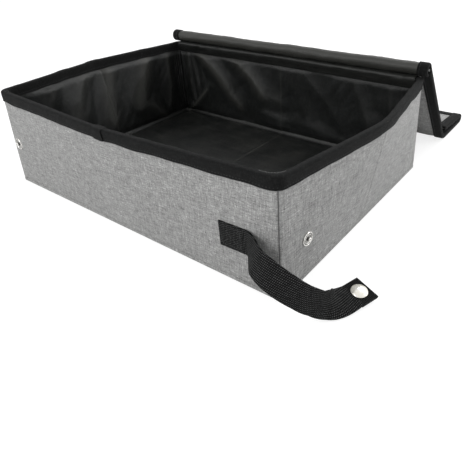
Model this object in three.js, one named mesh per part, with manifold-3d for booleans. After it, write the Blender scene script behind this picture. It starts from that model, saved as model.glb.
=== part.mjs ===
// Foldable litter box: a shallow fabric tray with stiff boards in its walls, a lid that hangs
// open behind it, and a webbing strap with a snap that keeps the folded box shut.
// Millimetres. X runs along the length, Y from the front wall to the back wall, Z up.
// The origin is the middle of the underside, on the floor.

import * as THREE from 'three';
import { mergeVertices } from 'three/addons/utils/BufferGeometryUtils.js';
import Module from 'manifold-3d';

const wasm = await Module();
wasm.setup();
const { Manifold, Mesh: SolidMesh } = wasm;

// Tray

const box_length = 400;
const box_depth = 300;
const rim_height = 118;
const layer_gap = 0.3;
const cover_thickness = 0.8;
const board_thickness = 2.4;
const lining_thickness = 0.8;
const base_wall_clearance = 0.4;
const crease_gap = 0.6;
const mitre_gap = 0.25;
const board_corner_setback = 3.5;
const board_crease_setback = 1.5;

// How far the walls lean: in at the rim's corners, out at the creases in their middles

const corner_lean = 3;
const end_bulge = 20;
const front_bulge = 9;

// Rim binding, folded over the top of each wall and round the edges of the lid

const binding_height = 12;
const binding_thickness = 0.9;

// The lining hangs loose and stands off its board in soft folds. Each fold is a row of shares:
// place along the wall, drift of the fold from bottom to top, width, and depth.

const lining_slack = 4.2;
const lining_fade_share = 0.14;
const back_fold_shares = [
  [0.1, 0.1, 0.05, 0.9],
  [0.27, -0.2, 0.06, 1],
  [0.42, 0.16, 0.05, 0.75],
  [0.63, -0.14, 0.07, 0.9],
  [0.84, 0.12, 0.05, 0.8],
];
const front_fold_shares = [
  [0.2, 0.12, 0.06, 0.7],
  [0.5, -0.1, 0.07, 0.6],
  [0.78, 0.14, 0.06, 0.8],
];
const back_half_fold_shares = [
  [0.16, 0.14, 0.07, 1],
  [0.45, -0.22, 0.09, 0.8],
  [0.76, -0.18, 0.08, 0.95],
];
const front_half_fold_shares = [
  [0.24, 0.16, 0.08, 0.85],
  [0.62, -0.2, 0.1, 0.9],
];

// Lid

const lid_overhang = 3;
const lid_rear_length = 162;
const lid_middle_length = 75;
const lid_front_length = 75;
const lid_roll_radius = 6;
const lid_rear_board_setback = 7;
const lid_fold_clearance = 0.1;
const lid_gape_degrees = 4;
const roll_end_degrees = 268;
const crease_band_width = 13;
const welt_width = 3;
const welt_height = 0.9;

// Strap. Each station is a row of shares of the strap's length: along the wall, out from
// the wall, and up. The lean is how far the strap's width tips over from upright.

const strap_width = 25;
const strap_thickness = 1.4;
const strap_patch_from_corner = 62;
const strap_patch_length = 25;
const strap_height = 49.5;
const strap_length = 157;
const strap_hem_length = 17;
const strap_hinge_clearance = 0.2;
const strap_station_shares = [
  [0, 0, 0],
  [0.025, -0.003, 0.001],
  [0.083, -0.045, 0.004],
  [0.16, -0.11, 0.006],
  [0.254, -0.134, -0.015],
  [0.346, -0.124, -0.057],
  [0.418, -0.085, -0.113],
  [0.463, -0.023, -0.174],
  [0.492, 0.056, -0.229],
  [0.515, 0.144, -0.268],
  [0.543, 0.235, -0.275],
  [0.575, 0.327, -0.259],
];
const strap_lean_degrees = [0, 0, 12, 22, 27, 19, 3, -5, 14, 62, 84, 74];

// Snap fasteners

const stud_shank_radius = 1.5;
const stud_flange_radius = 3.6;
const stud_flange_thickness = 0.7;
const stud_neck_radius = 1.6;
const stud_bulb_radius = 2.1;
const stud_reach = 3.4;
const ring_inner_radius = 4;
const ring_outer_radius = 6.2;
const ring_thickness = 1.2;
const ring_lip = 0.5;
const washer_radius = 5;
const washer_thickness = 0.6;
const snap_clearance = 0.35;
const right_snap_from_corner = 39;
const right_snap_height = 44;
const left_snap_from_corner = 15;
const left_snap_height = 54;
const cap_radius = 7.5;
const cap_dome = 2.6;
const cap_edge = 0.7;
const cap_from_tip = 9;
const socket_outer_radius = 5.4;
const socket_height = 2.2;

// Counts of facets

const half_wall_columns = 6;
const wall_rows = 7;
const end_lining_columns = 14;
const long_lining_columns = 34;
const roll_segments = 18;
const round_segments = 24;
const small_segments = 16;
const strap_steps = 44;
const patch_rows = 3;
const patch_columns = 2;

// Worked out from the sizes above

const lid_half_width = box_length / 2 + lid_overhang;
const strap_patch_start = box_length / 2 - strap_patch_from_corner;
const wall_stack = cover_thickness + board_thickness + lining_thickness + 2 * layer_gap;
const cover_depths = [0, cover_thickness];
const board_depths = [cover_thickness + layer_gap, cover_thickness + layer_gap + board_thickness];
const lining_depths = [wall_stack - lining_thickness, wall_stack];
const binding_reach = layer_gap + binding_thickness;
const base_top = cover_thickness + board_thickness + lining_thickness + 2 * layer_gap;
const wall_bottom = base_top + base_wall_clearance;
const wall_top = rim_height - binding_thickness - layer_gap;
const loose_top = rim_height - binding_height - layer_gap;

function material(name, colour, roughness, metalness = 0) {
  return new THREE.MeshStandardMaterial({ name, color: colour, roughness, metalness });
}

const finishes = {
  cover: () => material('linen_look_cover', 0x9d9d9b, 0.9),
  board: () => material('stiffening_board', 0xcfc9ba, 0.75),
  lining: () => material('coated_lining', 0x17191a, 0.5),
  binding: () => material('binding_tape', 0x141414, 0.85),
  webbing: () => material('webbing', 0x151515, 0.8),
  metal: () => material('nickel', 0xc9c7c0, 0.3, 1),
};

const part = new THREE.Group();
part.name = 'foldable_litter_box';

function addPiece(parent, name, geometry, finish) {
  const mesh = new THREE.Mesh(geometry, finishes[finish]());
  mesh.name = name;
  parent.add(mesh);
  return mesh;
}

// Solids from rings of points: every ring is the same closed outline, moved along a path

function capTriangles(outline) {
  const flat = outline.map(([across, up]) => new THREE.Vector2(across, up));
  const outline_sign = Math.sign(THREE.ShapeUtils.area(flat));
  return THREE.ShapeUtils.triangulateShape(flat, []).map(([a, b, c]) => {
    const sign = Math.sign(THREE.ShapeUtils.area([flat[a], flat[b], flat[c]]));
    return sign === outline_sign ? [a, b, c] : [a, c, b];
  });
}

function signedVolume(points, triangles) {
  const [a, b, c] = [new THREE.Vector3(), new THREE.Vector3(), new THREE.Vector3()];
  let six_volumes = 0;
  for (let t = 0; t < triangles.length; t += 3) {
    a.copy(points[triangles[t]]);
    b.copy(points[triangles[t + 1]]);
    c.copy(points[triangles[t + 2]]);
    six_volumes += a.dot(b.cross(c));
  }
  return six_volumes;
}

function solidFromRings(rings, outline) {
  const count = outline.length;
  const points = rings.flat();
  const triangles = [];
  for (let r = 0; r + 1 < rings.length; r += 1) {
    for (let i = 0; i < count; i += 1) {
      const a = r * count + i;
      const b = r * count + ((i + 1) % count);
      // Both faces of a thin wall are split the same way, so that they stay parallel
      if (points[a].z <= points[b].z) {
        triangles.push(a, b, b + count, a, b + count, a + count);
      } else {
        triangles.push(a, b, a + count, b, b + count, a + count);
      }
    }
  }
  const last = (rings.length - 1) * count;
  for (const [a, b, c] of capTriangles(outline)) {
    triangles.push(a, c, b, last + a, last + b, last + c);
  }
  if (signedVolume(points, triangles) < 0) {
    triangles.reverse();
  }
  const geometry = new THREE.BufferGeometry();
  const positions = points.flatMap((p) => [p.x, p.y, p.z]);
  geometry.setAttribute('position', new THREE.Float32BufferAttribute(positions, 3));
  geometry.setIndex(triangles);
  return geometry;
}

// Joining and cutting of closed solids

function toSolid(geometry) {
  const plain = geometry.clone();
  plain.deleteAttribute('normal');
  plain.deleteAttribute('uv');
  const merged = mergeVertices(plain);
  return new Manifold(new SolidMesh({
    numProp: 3,
    vertProperties: Float32Array.from(merged.attributes.position.array),
    triVerts: Uint32Array.from(merged.index.array),
  }));
}

function fromSolid(solid) {
  const mesh = solid.getMesh();
  const geometry = new THREE.BufferGeometry();
  geometry.setAttribute('position', new THREE.BufferAttribute(mesh.vertProperties, 3));
  geometry.setIndex(new THREE.BufferAttribute(mesh.triVerts, 1));
  return geometry;
}

function cut(geometry, cutters) {
  let solid = toSolid(geometry);
  for (const cutter of cutters) {
    solid = solid.subtract(toSolid(cutter));
  }
  return fromSolid(solid);
}

function joined(geometries) {
  let solid = toSolid(geometries[0]);
  for (const geometry of geometries.slice(1)) {
    solid = solid.add(toSolid(geometry));
  }
  return fromSolid(solid);
}

function boxBetween([x0, x1], [y0, y1], [z0, z1]) {
  const geometry = new THREE.BoxGeometry(x1 - x0, y1 - y0, z1 - z0);
  return geometry.translate((x0 + x1) / 2, (y0 + y1) / 2, (z0 + z1) / 2);
}

// A wall is a plan line with a direction along it and a direction inward. Depth is measured
// inward from the cover, and the whole stack leans in or out with height.

class Wall {
  constructor({ origin, along, inward, reach, middle, bulge }) {
    Object.assign(this, { origin, along, inward, reach, middle, bulge });
  }

  lean(u, z) {
    const share = 1 - Math.abs(this.middle - u) / this.reach;
    return (z / rim_height) * (this.bulge * share - corner_lean * (1 - share));
  }

  depthInPlan(depth, u, z) {
    return depth - this.lean(u, z);
  }

  point(u, depth, z) {
    const inset = this.depthInPlan(depth, u, z);
    return new THREE.Vector3(
      this.origin[0] + this.along[0] * u + this.inward[0] * inset,
      this.origin[1] + this.along[1] * u + this.inward[1] * inset,
      z,
    );
  }

  // Where the upright mitre at the corner lies for a given depth and height
  mitre(depth, z) {
    return depth + corner_lean * (z / rim_height) + mitre_gap;
  }
}

// Half an end wall runs from its corner to the upright crease in the middle
function endHalf(side, end) {
  const reach = box_depth / 2;
  const wall = new Wall({
    origin: [(side * box_length) / 2, (end * box_depth) / 2],
    along: [0, -end],
    inward: [-side, 0],
    reach,
    middle: reach,
    bulge: end_bulge,
  });
  wall.from = (depth, z) => wall.mitre(depth, z);
  wall.to = () => reach - crease_gap / 2;
  return wall;
}

// A long wall runs from corner to corner, measured from its middle
function longWall(end, bulge) {
  const reach = box_length / 2;
  const wall = new Wall({
    origin: [0, (end * box_depth) / 2],
    along: [1, 0],
    inward: [0, -end],
    reach,
    middle: 0,
    bulge,
  });
  wall.from = (depth, z) => wall.mitre(depth, z) - reach;
  wall.to = (depth, z) => reach - wall.mitre(depth, z);
  return wall;
}

function copyOf(wall) {
  return Object.assign(Object.create(Object.getPrototypeOf(wall)), wall);
}

// A copy of a long wall that stops at its crease, on one side of it
function halfOf(wall, side) {
  const half = copyOf(wall);
  if (side < 0) {
    half.to = () => -crease_gap / 2;
  } else {
    half.from = () => crease_gap / 2;
  }
  return half;
}

// A copy of a wall for its board, which stops further from the corner and the crease
function boardWithin(wall, start_setback, end_setback) {
  const within = copyOf(wall);
  within.from = (depth, z) => wall.from(depth, z) + start_setback;
  within.to = (depth, z) => wall.to(depth, z) - end_setback;
  return within;
}

// Moves an outline of depths and heights along a wall, in even columns
function sweepAlong(wall, outline, columns, foldDepth = null) {
  const rings = [];
  for (let c = 0; c <= columns; c += 1) {
    rings.push(outline.map(([depth, z]) => {
      const from = wall.from(depth, z);
      const u = from + ((wall.to(depth, z) - from) * c) / columns;
      const stand_off = foldDepth ? foldDepth(u, z) : 0;
      return wall.point(u, depth + stand_off, z);
    }));
  }
  return solidFromRings(rings, outline);
}

function evenHeights(bottom, top, rows) {
  return Array.from({ length: rows + 1 }, (_, i) => bottom + ((top - bottom) * i) / rows);
}

function slabOutline([outer, inner], heights) {
  const up = heights.map((z) => [outer, z]);
  const down = heights.map((z) => [inner, z]).reverse();
  return [...up, ...down];
}

// The binding is an upside-down U over the wall's top edge
function bindingOutline() {
  const [outer, inner] = [-binding_reach, wall_stack + binding_reach];
  const hem = rim_height - binding_height;
  const roof = rim_height - binding_thickness;
  return [
    [outer, hem],
    [outer, rim_height],
    [inner, rim_height],
    [inner, hem],
    [inner - binding_thickness, hem],
    [inner - binding_thickness, roof],
    [outer + binding_thickness, roof],
    [outer + binding_thickness, hem],
  ];
}

function smoothRise(share) {
  return THREE.MathUtils.smoothstep(share, 0, lining_fade_share);
}

// How far the lining stands off at a place: its folds fade out at the seams and corners
function liningFolds(wall, fold_shares) {
  return (u, z) => {
    const [start, end] = [wall.from(0, z), wall.to(0, z)];
    const along = (u - start) / (end - start);
    const up = (z - wall_bottom) / (loose_top - wall_bottom);
    const fade = smoothRise(along) * smoothRise(1 - along) * smoothRise(up) * smoothRise(1 - up);
    let sum = 0;
    for (const [place, drift, width, depth] of fold_shares) {
      const offset = (along - place - drift * (up - 1 / 2)) / width;
      sum += depth * Math.exp(-offset * offset);
    }
    return lining_slack * fade * Math.min(1, sum);
  };
}

// Snap fastener parts, turned round their own axis, which points out of the cloth at +Y

function turned(profile, segments) {
  const points = profile.map(([radius, height]) => new THREE.Vector2(radius, height));
  return new THREE.LatheGeometry(points, segments);
}

// The shank passes the cover and the board and ends inside the washer behind the board
const washer_back = board_depths[1] - snap_clearance / 2;
const washer_front = washer_back - washer_thickness;
const shank_hole_radius = stud_shank_radius + snap_clearance;
const washer_recess_radius = washer_radius + snap_clearance;
const washer_recess_front = washer_front - layer_gap;

function studGeometry() {
  const seat = layer_gap;
  const flange_top = seat + stud_flange_thickness;
  const bulb_middle = seat + stud_reach - stud_bulb_radius / 2;
  return turned([
    [0, -washer_back],
    [stud_shank_radius, -washer_back],
    [stud_shank_radius, seat],
    [stud_flange_radius, seat],
    [stud_flange_radius, flange_top],
    [stud_neck_radius, flange_top + ring_lip],
    [stud_neck_radius, bulb_middle - ring_lip],
    [stud_bulb_radius, bulb_middle],
    [stud_neck_radius, seat + stud_reach],
    [0, seat + stud_reach],
  ], round_segments);
}

function ringGeometry() {
  const seat = layer_gap;
  const crest = (ring_inner_radius + ring_outer_radius) / 2;
  return turned([
    [ring_inner_radius, seat],
    [ring_outer_radius, seat],
    [ring_outer_radius, seat + ring_lip],
    [crest, seat + ring_thickness],
    [ring_inner_radius, seat + ring_lip],
    [ring_inner_radius, seat],
  ], round_segments);
}

function washerGeometry() {
  const inner = stud_shank_radius + snap_clearance / 2;
  return turned([
    [inner, -washer_back],
    [washer_radius, -washer_back],
    [washer_radius, -washer_front],
    [inner, -washer_front],
    [inner, -washer_back],
  ], round_segments);
}

// Where a snap sits on a wall: a point on the cover, and the way the cover faces there
function placeOnWall(wall, u, z) {
  const probe = layer_gap;
  const along = wall.point(u + probe, 0, z).sub(wall.point(u - probe, 0, z));
  const up = wall.point(u, 0, z + probe).sub(wall.point(u, 0, z - probe));
  const facing = along.cross(up).normalize();
  const outward = new THREE.Vector3(-wall.inward[0], -wall.inward[1], 0);
  if (facing.dot(outward) < 0) {
    facing.negate();
  }
  const turn = new THREE.Quaternion().setFromUnitVectors(new THREE.Vector3(0, 1, 0), facing);
  return new THREE.Matrix4().compose(wall.point(u, 0, z), turn, new THREE.Vector3(1, 1, 1));
}

function holeThrough(radius, [outer, inner]) {
  const overrun = layer_gap;
  const length = inner - outer + 2 * overrun;
  const hole = new THREE.CylinderGeometry(radius, radius, length, small_segments);
  return hole.translate(0, -(outer + inner) / 2, 0);
}

function snapHoles(place) {
  const cover = holeThrough(shank_hole_radius, cover_depths).applyMatrix4(place);
  const board = holeThrough(shank_hole_radius, board_depths).applyMatrix4(place);
  const recess_depths = [washer_recess_front + layer_gap, board_depths[1] + layer_gap];
  const recess = holeThrough(washer_recess_radius, recess_depths).applyMatrix4(place);
  return { cover: [cover], board: [board, recess] };
}

function addSnap(parent, prefix, place) {
  const group = new THREE.Group();
  group.applyMatrix4(place);
  parent.add(group);
  addPiece(group, `${prefix}_snap_stud`, studGeometry(), 'metal');
  addPiece(group, `${prefix}_snap_ring`, ringGeometry(), 'metal');
  addPiece(group, `${prefix}_snap_washer`, washerGeometry(), 'metal');
}

// Walls

const wall_heights = evenHeights(wall_bottom, wall_top, wall_rows);
const lining_heights = [...evenHeights(wall_bottom, loose_top, wall_rows), wall_top];

function addCover(name, wall, columns, holes = []) {
  const outline = slabOutline(cover_depths, wall_heights);
  const cover = sweepAlong(wall, outline, columns);
  addPiece(part, name, holes.length ? cut(cover, holes) : cover, 'cover');
}

function addBoard(name, wall, columns, holes = []) {
  const outline = slabOutline(board_depths, wall_heights);
  const board = sweepAlong(wall, outline, columns);
  addPiece(part, name, holes.length ? cut(board, holes) : board, 'board');
}

function addLining(name, wall, columns, fold_shares) {
  const outline = slabOutline(lining_depths, lining_heights);
  const folds = liningFolds(wall, fold_shares);
  addPiece(part, name, sweepAlong(wall, outline, columns, folds), 'lining');
}

function addBinding(name, wall, columns) {
  addPiece(part, name, sweepAlong(wall, bindingOutline(), columns), 'binding');
}

const front_wall = longWall(-1, front_bulge);
const back_wall = longWall(1, 0);
const right_front_half = endHalf(1, -1);

const right_snap_place = placeOnWall(
  right_front_half,
  right_snap_from_corner,
  right_snap_height,
);
const left_snap_place = placeOnWall(
  front_wall,
  left_snap_from_corner - box_length / 2,
  left_snap_height,
);
const right_snap_holes = snapHoles(right_snap_place);
const left_snap_holes = snapHoles(left_snap_place);

for (const [side, side_name] of [[1, 'right'], [-1, 'left']]) {
  for (const [end, end_name] of [[1, 'back'], [-1, 'front']]) {
    const wall = endHalf(side, end);
    const name = `${side_name}_end_${end_name}`;
    const holds_snap = side > 0 && end < 0;
    const folds = end > 0 ? back_half_fold_shares : front_half_fold_shares;
    const board_wall = boardWithin(wall, board_corner_setback, board_crease_setback);
    const board_holes = holds_snap ? right_snap_holes.board : [];
    addCover(`${name}_cover`, wall, half_wall_columns, holds_snap ? right_snap_holes.cover : []);
    addBoard(`${name}_board`, board_wall, half_wall_columns, board_holes);
    addLining(`${name}_lining`, wall, end_lining_columns, folds);
    addBinding(`${name}_binding`, wall, half_wall_columns);
  }
}
addSnap(part, 'right', right_snap_place);

// The boards of a long wall, one each side of its crease
function addLongBoards(name, wall, left_holes = []) {
  const left = boardWithin(halfOf(wall, -1), board_corner_setback, board_crease_setback);
  const right = boardWithin(halfOf(wall, 1), board_crease_setback, board_corner_setback);
  addBoard(`${name}_board_left`, left, half_wall_columns, left_holes);
  addBoard(`${name}_board_right`, right, half_wall_columns);
}

addCover('front_cover', front_wall, 2 * half_wall_columns, left_snap_holes.cover);
addLongBoards('front', front_wall, left_snap_holes.board);
addLining('front_lining', front_wall, long_lining_columns, front_fold_shares);
addBinding('front_binding', front_wall, 2 * half_wall_columns);
addSnap(part, 'left', left_snap_place);

addCover('back_cover', back_wall, 2 * half_wall_columns);
addLongBoards('back', back_wall);
addLining('back_lining', back_wall, long_lining_columns, back_fold_shares);
addBinding('back_binding', back_wall, 2 * half_wall_columns);

// Base plate: a shallow cloth tray that holds two boards under the floor lining

const [half_length, half_depth] = [box_length / 2, box_depth / 2];
const pocket_x = half_length - cover_thickness;
const pocket_y = half_depth - cover_thickness;
const base_block = boxBetween([-half_length, half_length], [-half_depth, half_depth], [0, base_top]);
const base_pocket = boxBetween(
  [-pocket_x, pocket_x],
  [-pocket_y, pocket_y],
  [cover_thickness, base_top + layer_gap],
);
addPiece(part, 'base_cover', cut(base_block, [base_pocket]), 'cover');

const base_board_z = [
  cover_thickness + layer_gap,
  cover_thickness + layer_gap + board_thickness,
];
for (const [side, side_name] of [[1, 'right'], [-1, 'left']]) {
  const x_range = [(side * crease_gap) / 2, side * (pocket_x - layer_gap)].sort((a, b) => a - b);
  const y_range = [-(pocket_y - layer_gap), pocket_y - layer_gap];
  addPiece(part, `base_board_${side_name}`, boxBetween(x_range, y_range, base_board_z), 'board');
}
addPiece(part, 'floor_lining', boxBetween(
  [-(pocket_x - layer_gap), pocket_x - layer_gap],
  [-(pocket_y - layer_gap), pocket_y - layer_gap],
  [base_top - lining_thickness, base_top],
), 'lining');

// Lid: three boarded panels. The rear one turns on a soft roll over the back rim and hangs
// down to the floor. The middle one lies on the floor, and the front one is folded back on it.

const roll_outer = lid_roll_radius + binding_reach;
const lid_axis_y = half_depth - wall_stack / 2;
const lid_axis_z = rim_height + layer_gap + roll_outer;
const fold_level = 2 * binding_reach + wall_stack + lid_fold_clearance;
const rear_fold_lift = roll_outer + lid_fold_clearance;
const hang_reach = Math.hypot(lid_rear_length, rear_fold_lift);
const hang_angle = Math.asin((lid_axis_z - fold_level) / hang_reach)
  + Math.atan2(rear_fold_lift, lid_rear_length);
const rear_fold_y = lid_axis_y
  + lid_rear_length * Math.cos(hang_angle)
  + rear_fold_lift * Math.sin(hang_angle);
const half_turn = Math.PI;
const gape = THREE.MathUtils.degToRad(lid_gape_degrees);

// In each panel's own frame +Y runs along the panel and +Z out of its lining
const lid_rear = new THREE.Group();
lid_rear.position.set(0, lid_axis_y, lid_axis_z);
lid_rear.rotation.x = -hang_angle;
const lid_middle = new THREE.Group();
lid_middle.position.set(0, rear_fold_y, fold_level);
const lid_front = new THREE.Group();
lid_front.position.set(0, rear_fold_y + lid_middle_length, fold_level);
lid_front.rotation.x = half_turn - gape;
part.add(lid_rear, lid_middle, lid_front);

const stack_half_width = lid_half_width - binding_thickness - layer_gap;
const between_bindings = lid_half_width - binding_height - layer_gap;

function lidLayers(group, name, lining_level, [start, end], board_start) {
  const x_range = [-stack_half_width, stack_half_width];
  const layer = (depths) => [lining_level - wall_stack + depths[0], lining_level - wall_stack + depths[1]];
  const y_range = [start, end];
  const board_y = [board_start, end - layer_gap];
  addPiece(group, `${name}_cover`, boxBetween(x_range, y_range, layer(cover_depths)), 'cover');
  addPiece(group, `${name}_board`, boxBetween(x_range, board_y, layer(board_depths)), 'board');
  addPiece(group, `${name}_lining`, boxBetween(x_range, y_range, layer(lining_depths)), 'lining');
}

// A side binding is a channel that takes the panel's edge
function sideChannel(side, lining_level, [start, end]) {
  const top = lining_level + binding_reach;
  const bottom = lining_level - wall_stack - binding_reach;
  const overrun = binding_height;
  const outer_x = side * lid_half_width;
  const pocket_outer_x = side * (lid_half_width - binding_thickness);
  const inner_x = side * (lid_half_width - binding_height);
  const pocket_inner_x = inner_x - side * overrun;
  const sorted = (a, b) => [Math.min(a, b), Math.max(a, b)];
  return {
    body: boxBetween(sorted(outer_x, inner_x), [start, end], [bottom, top]),
    pocket: boxBetween(
      sorted(pocket_outer_x, pocket_inner_x),
      [start - overrun, end + overrun],
      [bottom + binding_thickness, top - binding_thickness],
    ),
  };
}

// A slice of a tube about the X axis, between two radii, two angles and two places along X
function tubeSlice([inner, outer], [from, to], [x0, x1]) {
  const outline = [[inner, x0], [outer, x0], [outer, x1], [inner, x1]];
  const rings = [];
  for (let s = 0; s <= roll_segments; s += 1) {
    const angle = from + ((to - from) * s) / roll_segments;
    rings.push(outline.map(([radius, x]) => (
      new THREE.Vector3(x, radius * Math.cos(angle), radius * Math.sin(angle))
    )));
  }
  return solidFromRings(rings, outline);
}

const quarter_turn = half_turn / 2;
const roll_end = THREE.MathUtils.degToRad(roll_end_degrees) + hang_angle;
const rear_end = lid_rear_length - layer_gap / 2;
lidLayers(lid_rear, 'lid_rear', lid_roll_radius, [layer_gap, rear_end], lid_rear_board_setback);

const roll_start = quarter_turn + layer_gap / lid_roll_radius;
const roll_cloth = [lid_roll_radius - lining_thickness, lid_roll_radius];
addPiece(lid_rear, 'lid_hinge_roll', tubeSlice(
  roll_cloth,
  [roll_start, roll_end],
  [-stack_half_width, stack_half_width],
), 'lining');

for (const [side, side_name] of [[1, 'right'], [-1, 'left']]) {
  const channel = sideChannel(side, lid_roll_radius, [0, rear_end]);
  const inner_x = side * (lid_half_width - binding_height);
  const ring_x = [inner_x, side * lid_half_width].sort((a, b) => a - b);
  const pocket_x_range = [
    inner_x - side * binding_height,
    side * (lid_half_width - binding_thickness),
  ].sort((a, b) => a - b);
  const inner_radius = roll_cloth[0] - binding_reach;
  const overlap = layer_gap / lid_roll_radius;
  const hook = tubeSlice([inner_radius, roll_outer], [quarter_turn - overlap, roll_end], ring_x);
  const hook_pocket = tubeSlice(
    [inner_radius + binding_thickness, roll_outer - binding_thickness],
    [quarter_turn - 2 * overlap, roll_end + overlap],
    pocket_x_range,
  );
  const body = joined([channel.body, hook]);
  addPiece(
    lid_rear,
    `lid_rear_binding_${side_name}`,
    cut(body, [channel.pocket, hook_pocket]),
    'binding',
  );
}

const flat_lining_level = -(lid_fold_clearance + binding_reach);
const middle_range = [layer_gap / 2, lid_middle_length - layer_gap / 2];
lidLayers(lid_middle, 'lid_middle', flat_lining_level, middle_range, middle_range[0]);
const hem_end = lid_front_length - binding_thickness - layer_gap;
lidLayers(lid_front, 'lid_front', flat_lining_level, [layer_gap / 2, hem_end], layer_gap / 2);
for (const [side, side_name] of [[1, 'right'], [-1, 'left']]) {
  const middle_channel = sideChannel(side, flat_lining_level, middle_range);
  const front_channel = sideChannel(side, flat_lining_level, [layer_gap / 2, lid_front_length]);
  addPiece(
    lid_middle,
    `lid_middle_binding_${side_name}`,
    cut(middle_channel.body, [middle_channel.pocket]),
    'binding',
  );
  addPiece(
    lid_front,
    `lid_front_binding_${side_name}`,
    cut(front_channel.body, [front_channel.pocket]),
    'binding',
  );
}

const flat_top = flat_lining_level + binding_reach;
const flat_bottom = flat_lining_level - wall_stack - binding_reach;
const hem_x = [-between_bindings, between_bindings];
const hem_body = boxBetween(
  hem_x,
  [lid_front_length - binding_height, lid_front_length],
  [flat_bottom, flat_top],
);
const hem_pocket = boxBetween(
  [-lid_half_width, lid_half_width],
  [0, lid_front_length - binding_thickness],
  [flat_bottom + binding_thickness, flat_top - binding_thickness],
);
addPiece(lid_front, 'lid_front_hem_binding', cut(hem_body, [hem_pocket]), 'binding');

// A tape sewn across the outside of the lid, along the fold of its front panel
addPiece(lid_front, 'lid_crease_band', boxBetween(
  hem_x,
  [layer_gap, layer_gap + crease_band_width],
  [flat_bottom, flat_bottom + binding_thickness],
), 'binding');

// The seam that holds the roll, standing on the back rim
addPiece(part, 'lid_hinge_welt', boxBetween(
  hem_x,
  [lid_axis_y - welt_width / 2, lid_axis_y + welt_width / 2],
  [rim_height + layer_gap, rim_height + layer_gap + welt_height],
), 'binding');

// Strap: a patch sewn to the front wall, and a tail that stands off, curls past the corner
// and lies on the floor with its snap cap up

const patch_end = strap_patch_start + strap_patch_length;
const strap_patch_wall = halfOf(front_wall, 1);
strap_patch_wall.from = () => strap_patch_start;
strap_patch_wall.to = () => patch_end;
const patch_outline = slabOutline(
  [-layer_gap - strap_thickness, -layer_gap],
  evenHeights(strap_height - strap_width / 2, strap_height + strap_width / 2, patch_rows),
);
addPiece(
  part,
  'strap_patch',
  sweepAlong(strap_patch_wall, patch_outline, patch_columns),
  'webbing',
);

const strap_pivot = front_wall.point(
  patch_end + strap_thickness / 2 + strap_hinge_clearance,
  -(layer_gap + strap_thickness / 2),
  strap_height,
);
const strap_route = new THREE.CatmullRomCurve3(strap_station_shares.map(([along, out, up]) => (
  new THREE.Vector3(along, out, up).multiplyScalar(strap_length).add(strap_pivot)
)));

const route_length = strap_route.getLength();
const hem_share = 1 - strap_hem_length / route_length;

// The strap's own axes at a share of its length: onward, across its width, out of its face.
// The doubled hem is stiff, so it runs on straight and flat.
function strapFrame(share) {
  if (share > hem_share) {
    const hem = strapFrame(hem_share);
    hem.centre.addScaledVector(hem.onward, (share - hem_share) * route_length);
    return hem;
  }
  const centre = strap_route.getPointAt(share);
  const onward = strap_route.getTangentAt(share);
  const station = strap_route.getUtoTmapping(share) * (strap_lean_degrees.length - 1);
  const before = Math.min(Math.floor(station), strap_lean_degrees.length - 2);
  const lean = THREE.MathUtils.degToRad(THREE.MathUtils.lerp(
    strap_lean_degrees[before],
    strap_lean_degrees[before + 1],
    station - before,
  ));
  const upright = new THREE.Vector3(0, 0, 1);
  const sideways = upright.clone().cross(onward).normalize();
  const rising = onward.clone().cross(sideways);
  const across = rising.multiplyScalar(Math.cos(lean)).addScaledVector(sideways, Math.sin(lean));
  const facing = onward.clone().cross(across);
  return { centre, onward, across, facing };
}

const strap_shares = [];
for (let s = 0; s <= strap_steps; s += 1) {
  strap_shares.push(s / strap_steps);
}
const hem_step_share = strap_thickness / 2 / route_length;
strap_shares.push(hem_share - hem_step_share, hem_share + hem_step_share);
strap_shares.sort((a, b) => a - b);
const strap_outline = [
  [-strap_width / 2, -strap_thickness / 2],
  [strap_width / 2, -strap_thickness / 2],
  [strap_width / 2, strap_thickness / 2],
  [-strap_width / 2, strap_thickness / 2],
];
const strap_rings = strap_shares.map((share) => {
  const { centre, across, facing } = strapFrame(share);
  const doubled = share > hem_share ? strap_thickness : 0;
  return strap_outline.map(([width, thick]) => centre.clone()
    .addScaledVector(across, width)
    .addScaledVector(facing, thick > 0 ? thick : thick - doubled));
});

const cap_frame = strapFrame(1 - cap_from_tip / route_length);
const cap_place = new THREE.Matrix4().makeBasis(
  cap_frame.onward,
  cap_frame.facing,
  cap_frame.onward.clone().cross(cap_frame.facing),
).setPosition(cap_frame.centre);
const strap_face = strap_thickness / 2;
const strap_back = strap_face + strap_thickness;
const strap_hole = holeThrough(shank_hole_radius, [-strap_face, strap_back]).applyMatrix4(cap_place);
addPiece(part, 'strap_tail', cut(solidFromRings(strap_rings, strap_outline), [strap_hole]), 'webbing');

const snap_group = new THREE.Group();
snap_group.applyMatrix4(cap_place);
part.add(snap_group);
const cap_seat = strap_face + layer_gap;
const shank_end = -(strap_back + layer_gap + socket_height / 2);
addPiece(snap_group, 'strap_snap_cap', turned([
  [0, shank_end],
  [stud_shank_radius, shank_end],
  [stud_shank_radius, cap_seat],
  [cap_radius, cap_seat],
  [cap_radius, cap_seat + cap_edge],
  [cap_radius * Math.cos(half_turn / 6), cap_seat + cap_edge + (cap_dome - cap_edge) / 2],
  [cap_radius / 2, cap_seat + cap_dome - cap_edge / 2],
  [cap_radius / 4, cap_seat + cap_dome],
  [0, cap_seat + cap_dome],
], round_segments), 'metal');
const socket_inner_radius = stud_bulb_radius + snap_clearance;
const socket_top = -(strap_back + layer_gap);
addPiece(snap_group, 'strap_snap_socket', turned([
  [socket_inner_radius, socket_top - socket_height],
  [socket_outer_radius - ring_lip, socket_top - socket_height],
  [socket_outer_radius, socket_top - socket_height / 2],
  [socket_outer_radius, socket_top],
  [socket_inner_radius, socket_top],
  [socket_inner_radius, socket_top - socket_height],
], round_segments), 'metal');

export default part;
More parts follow.
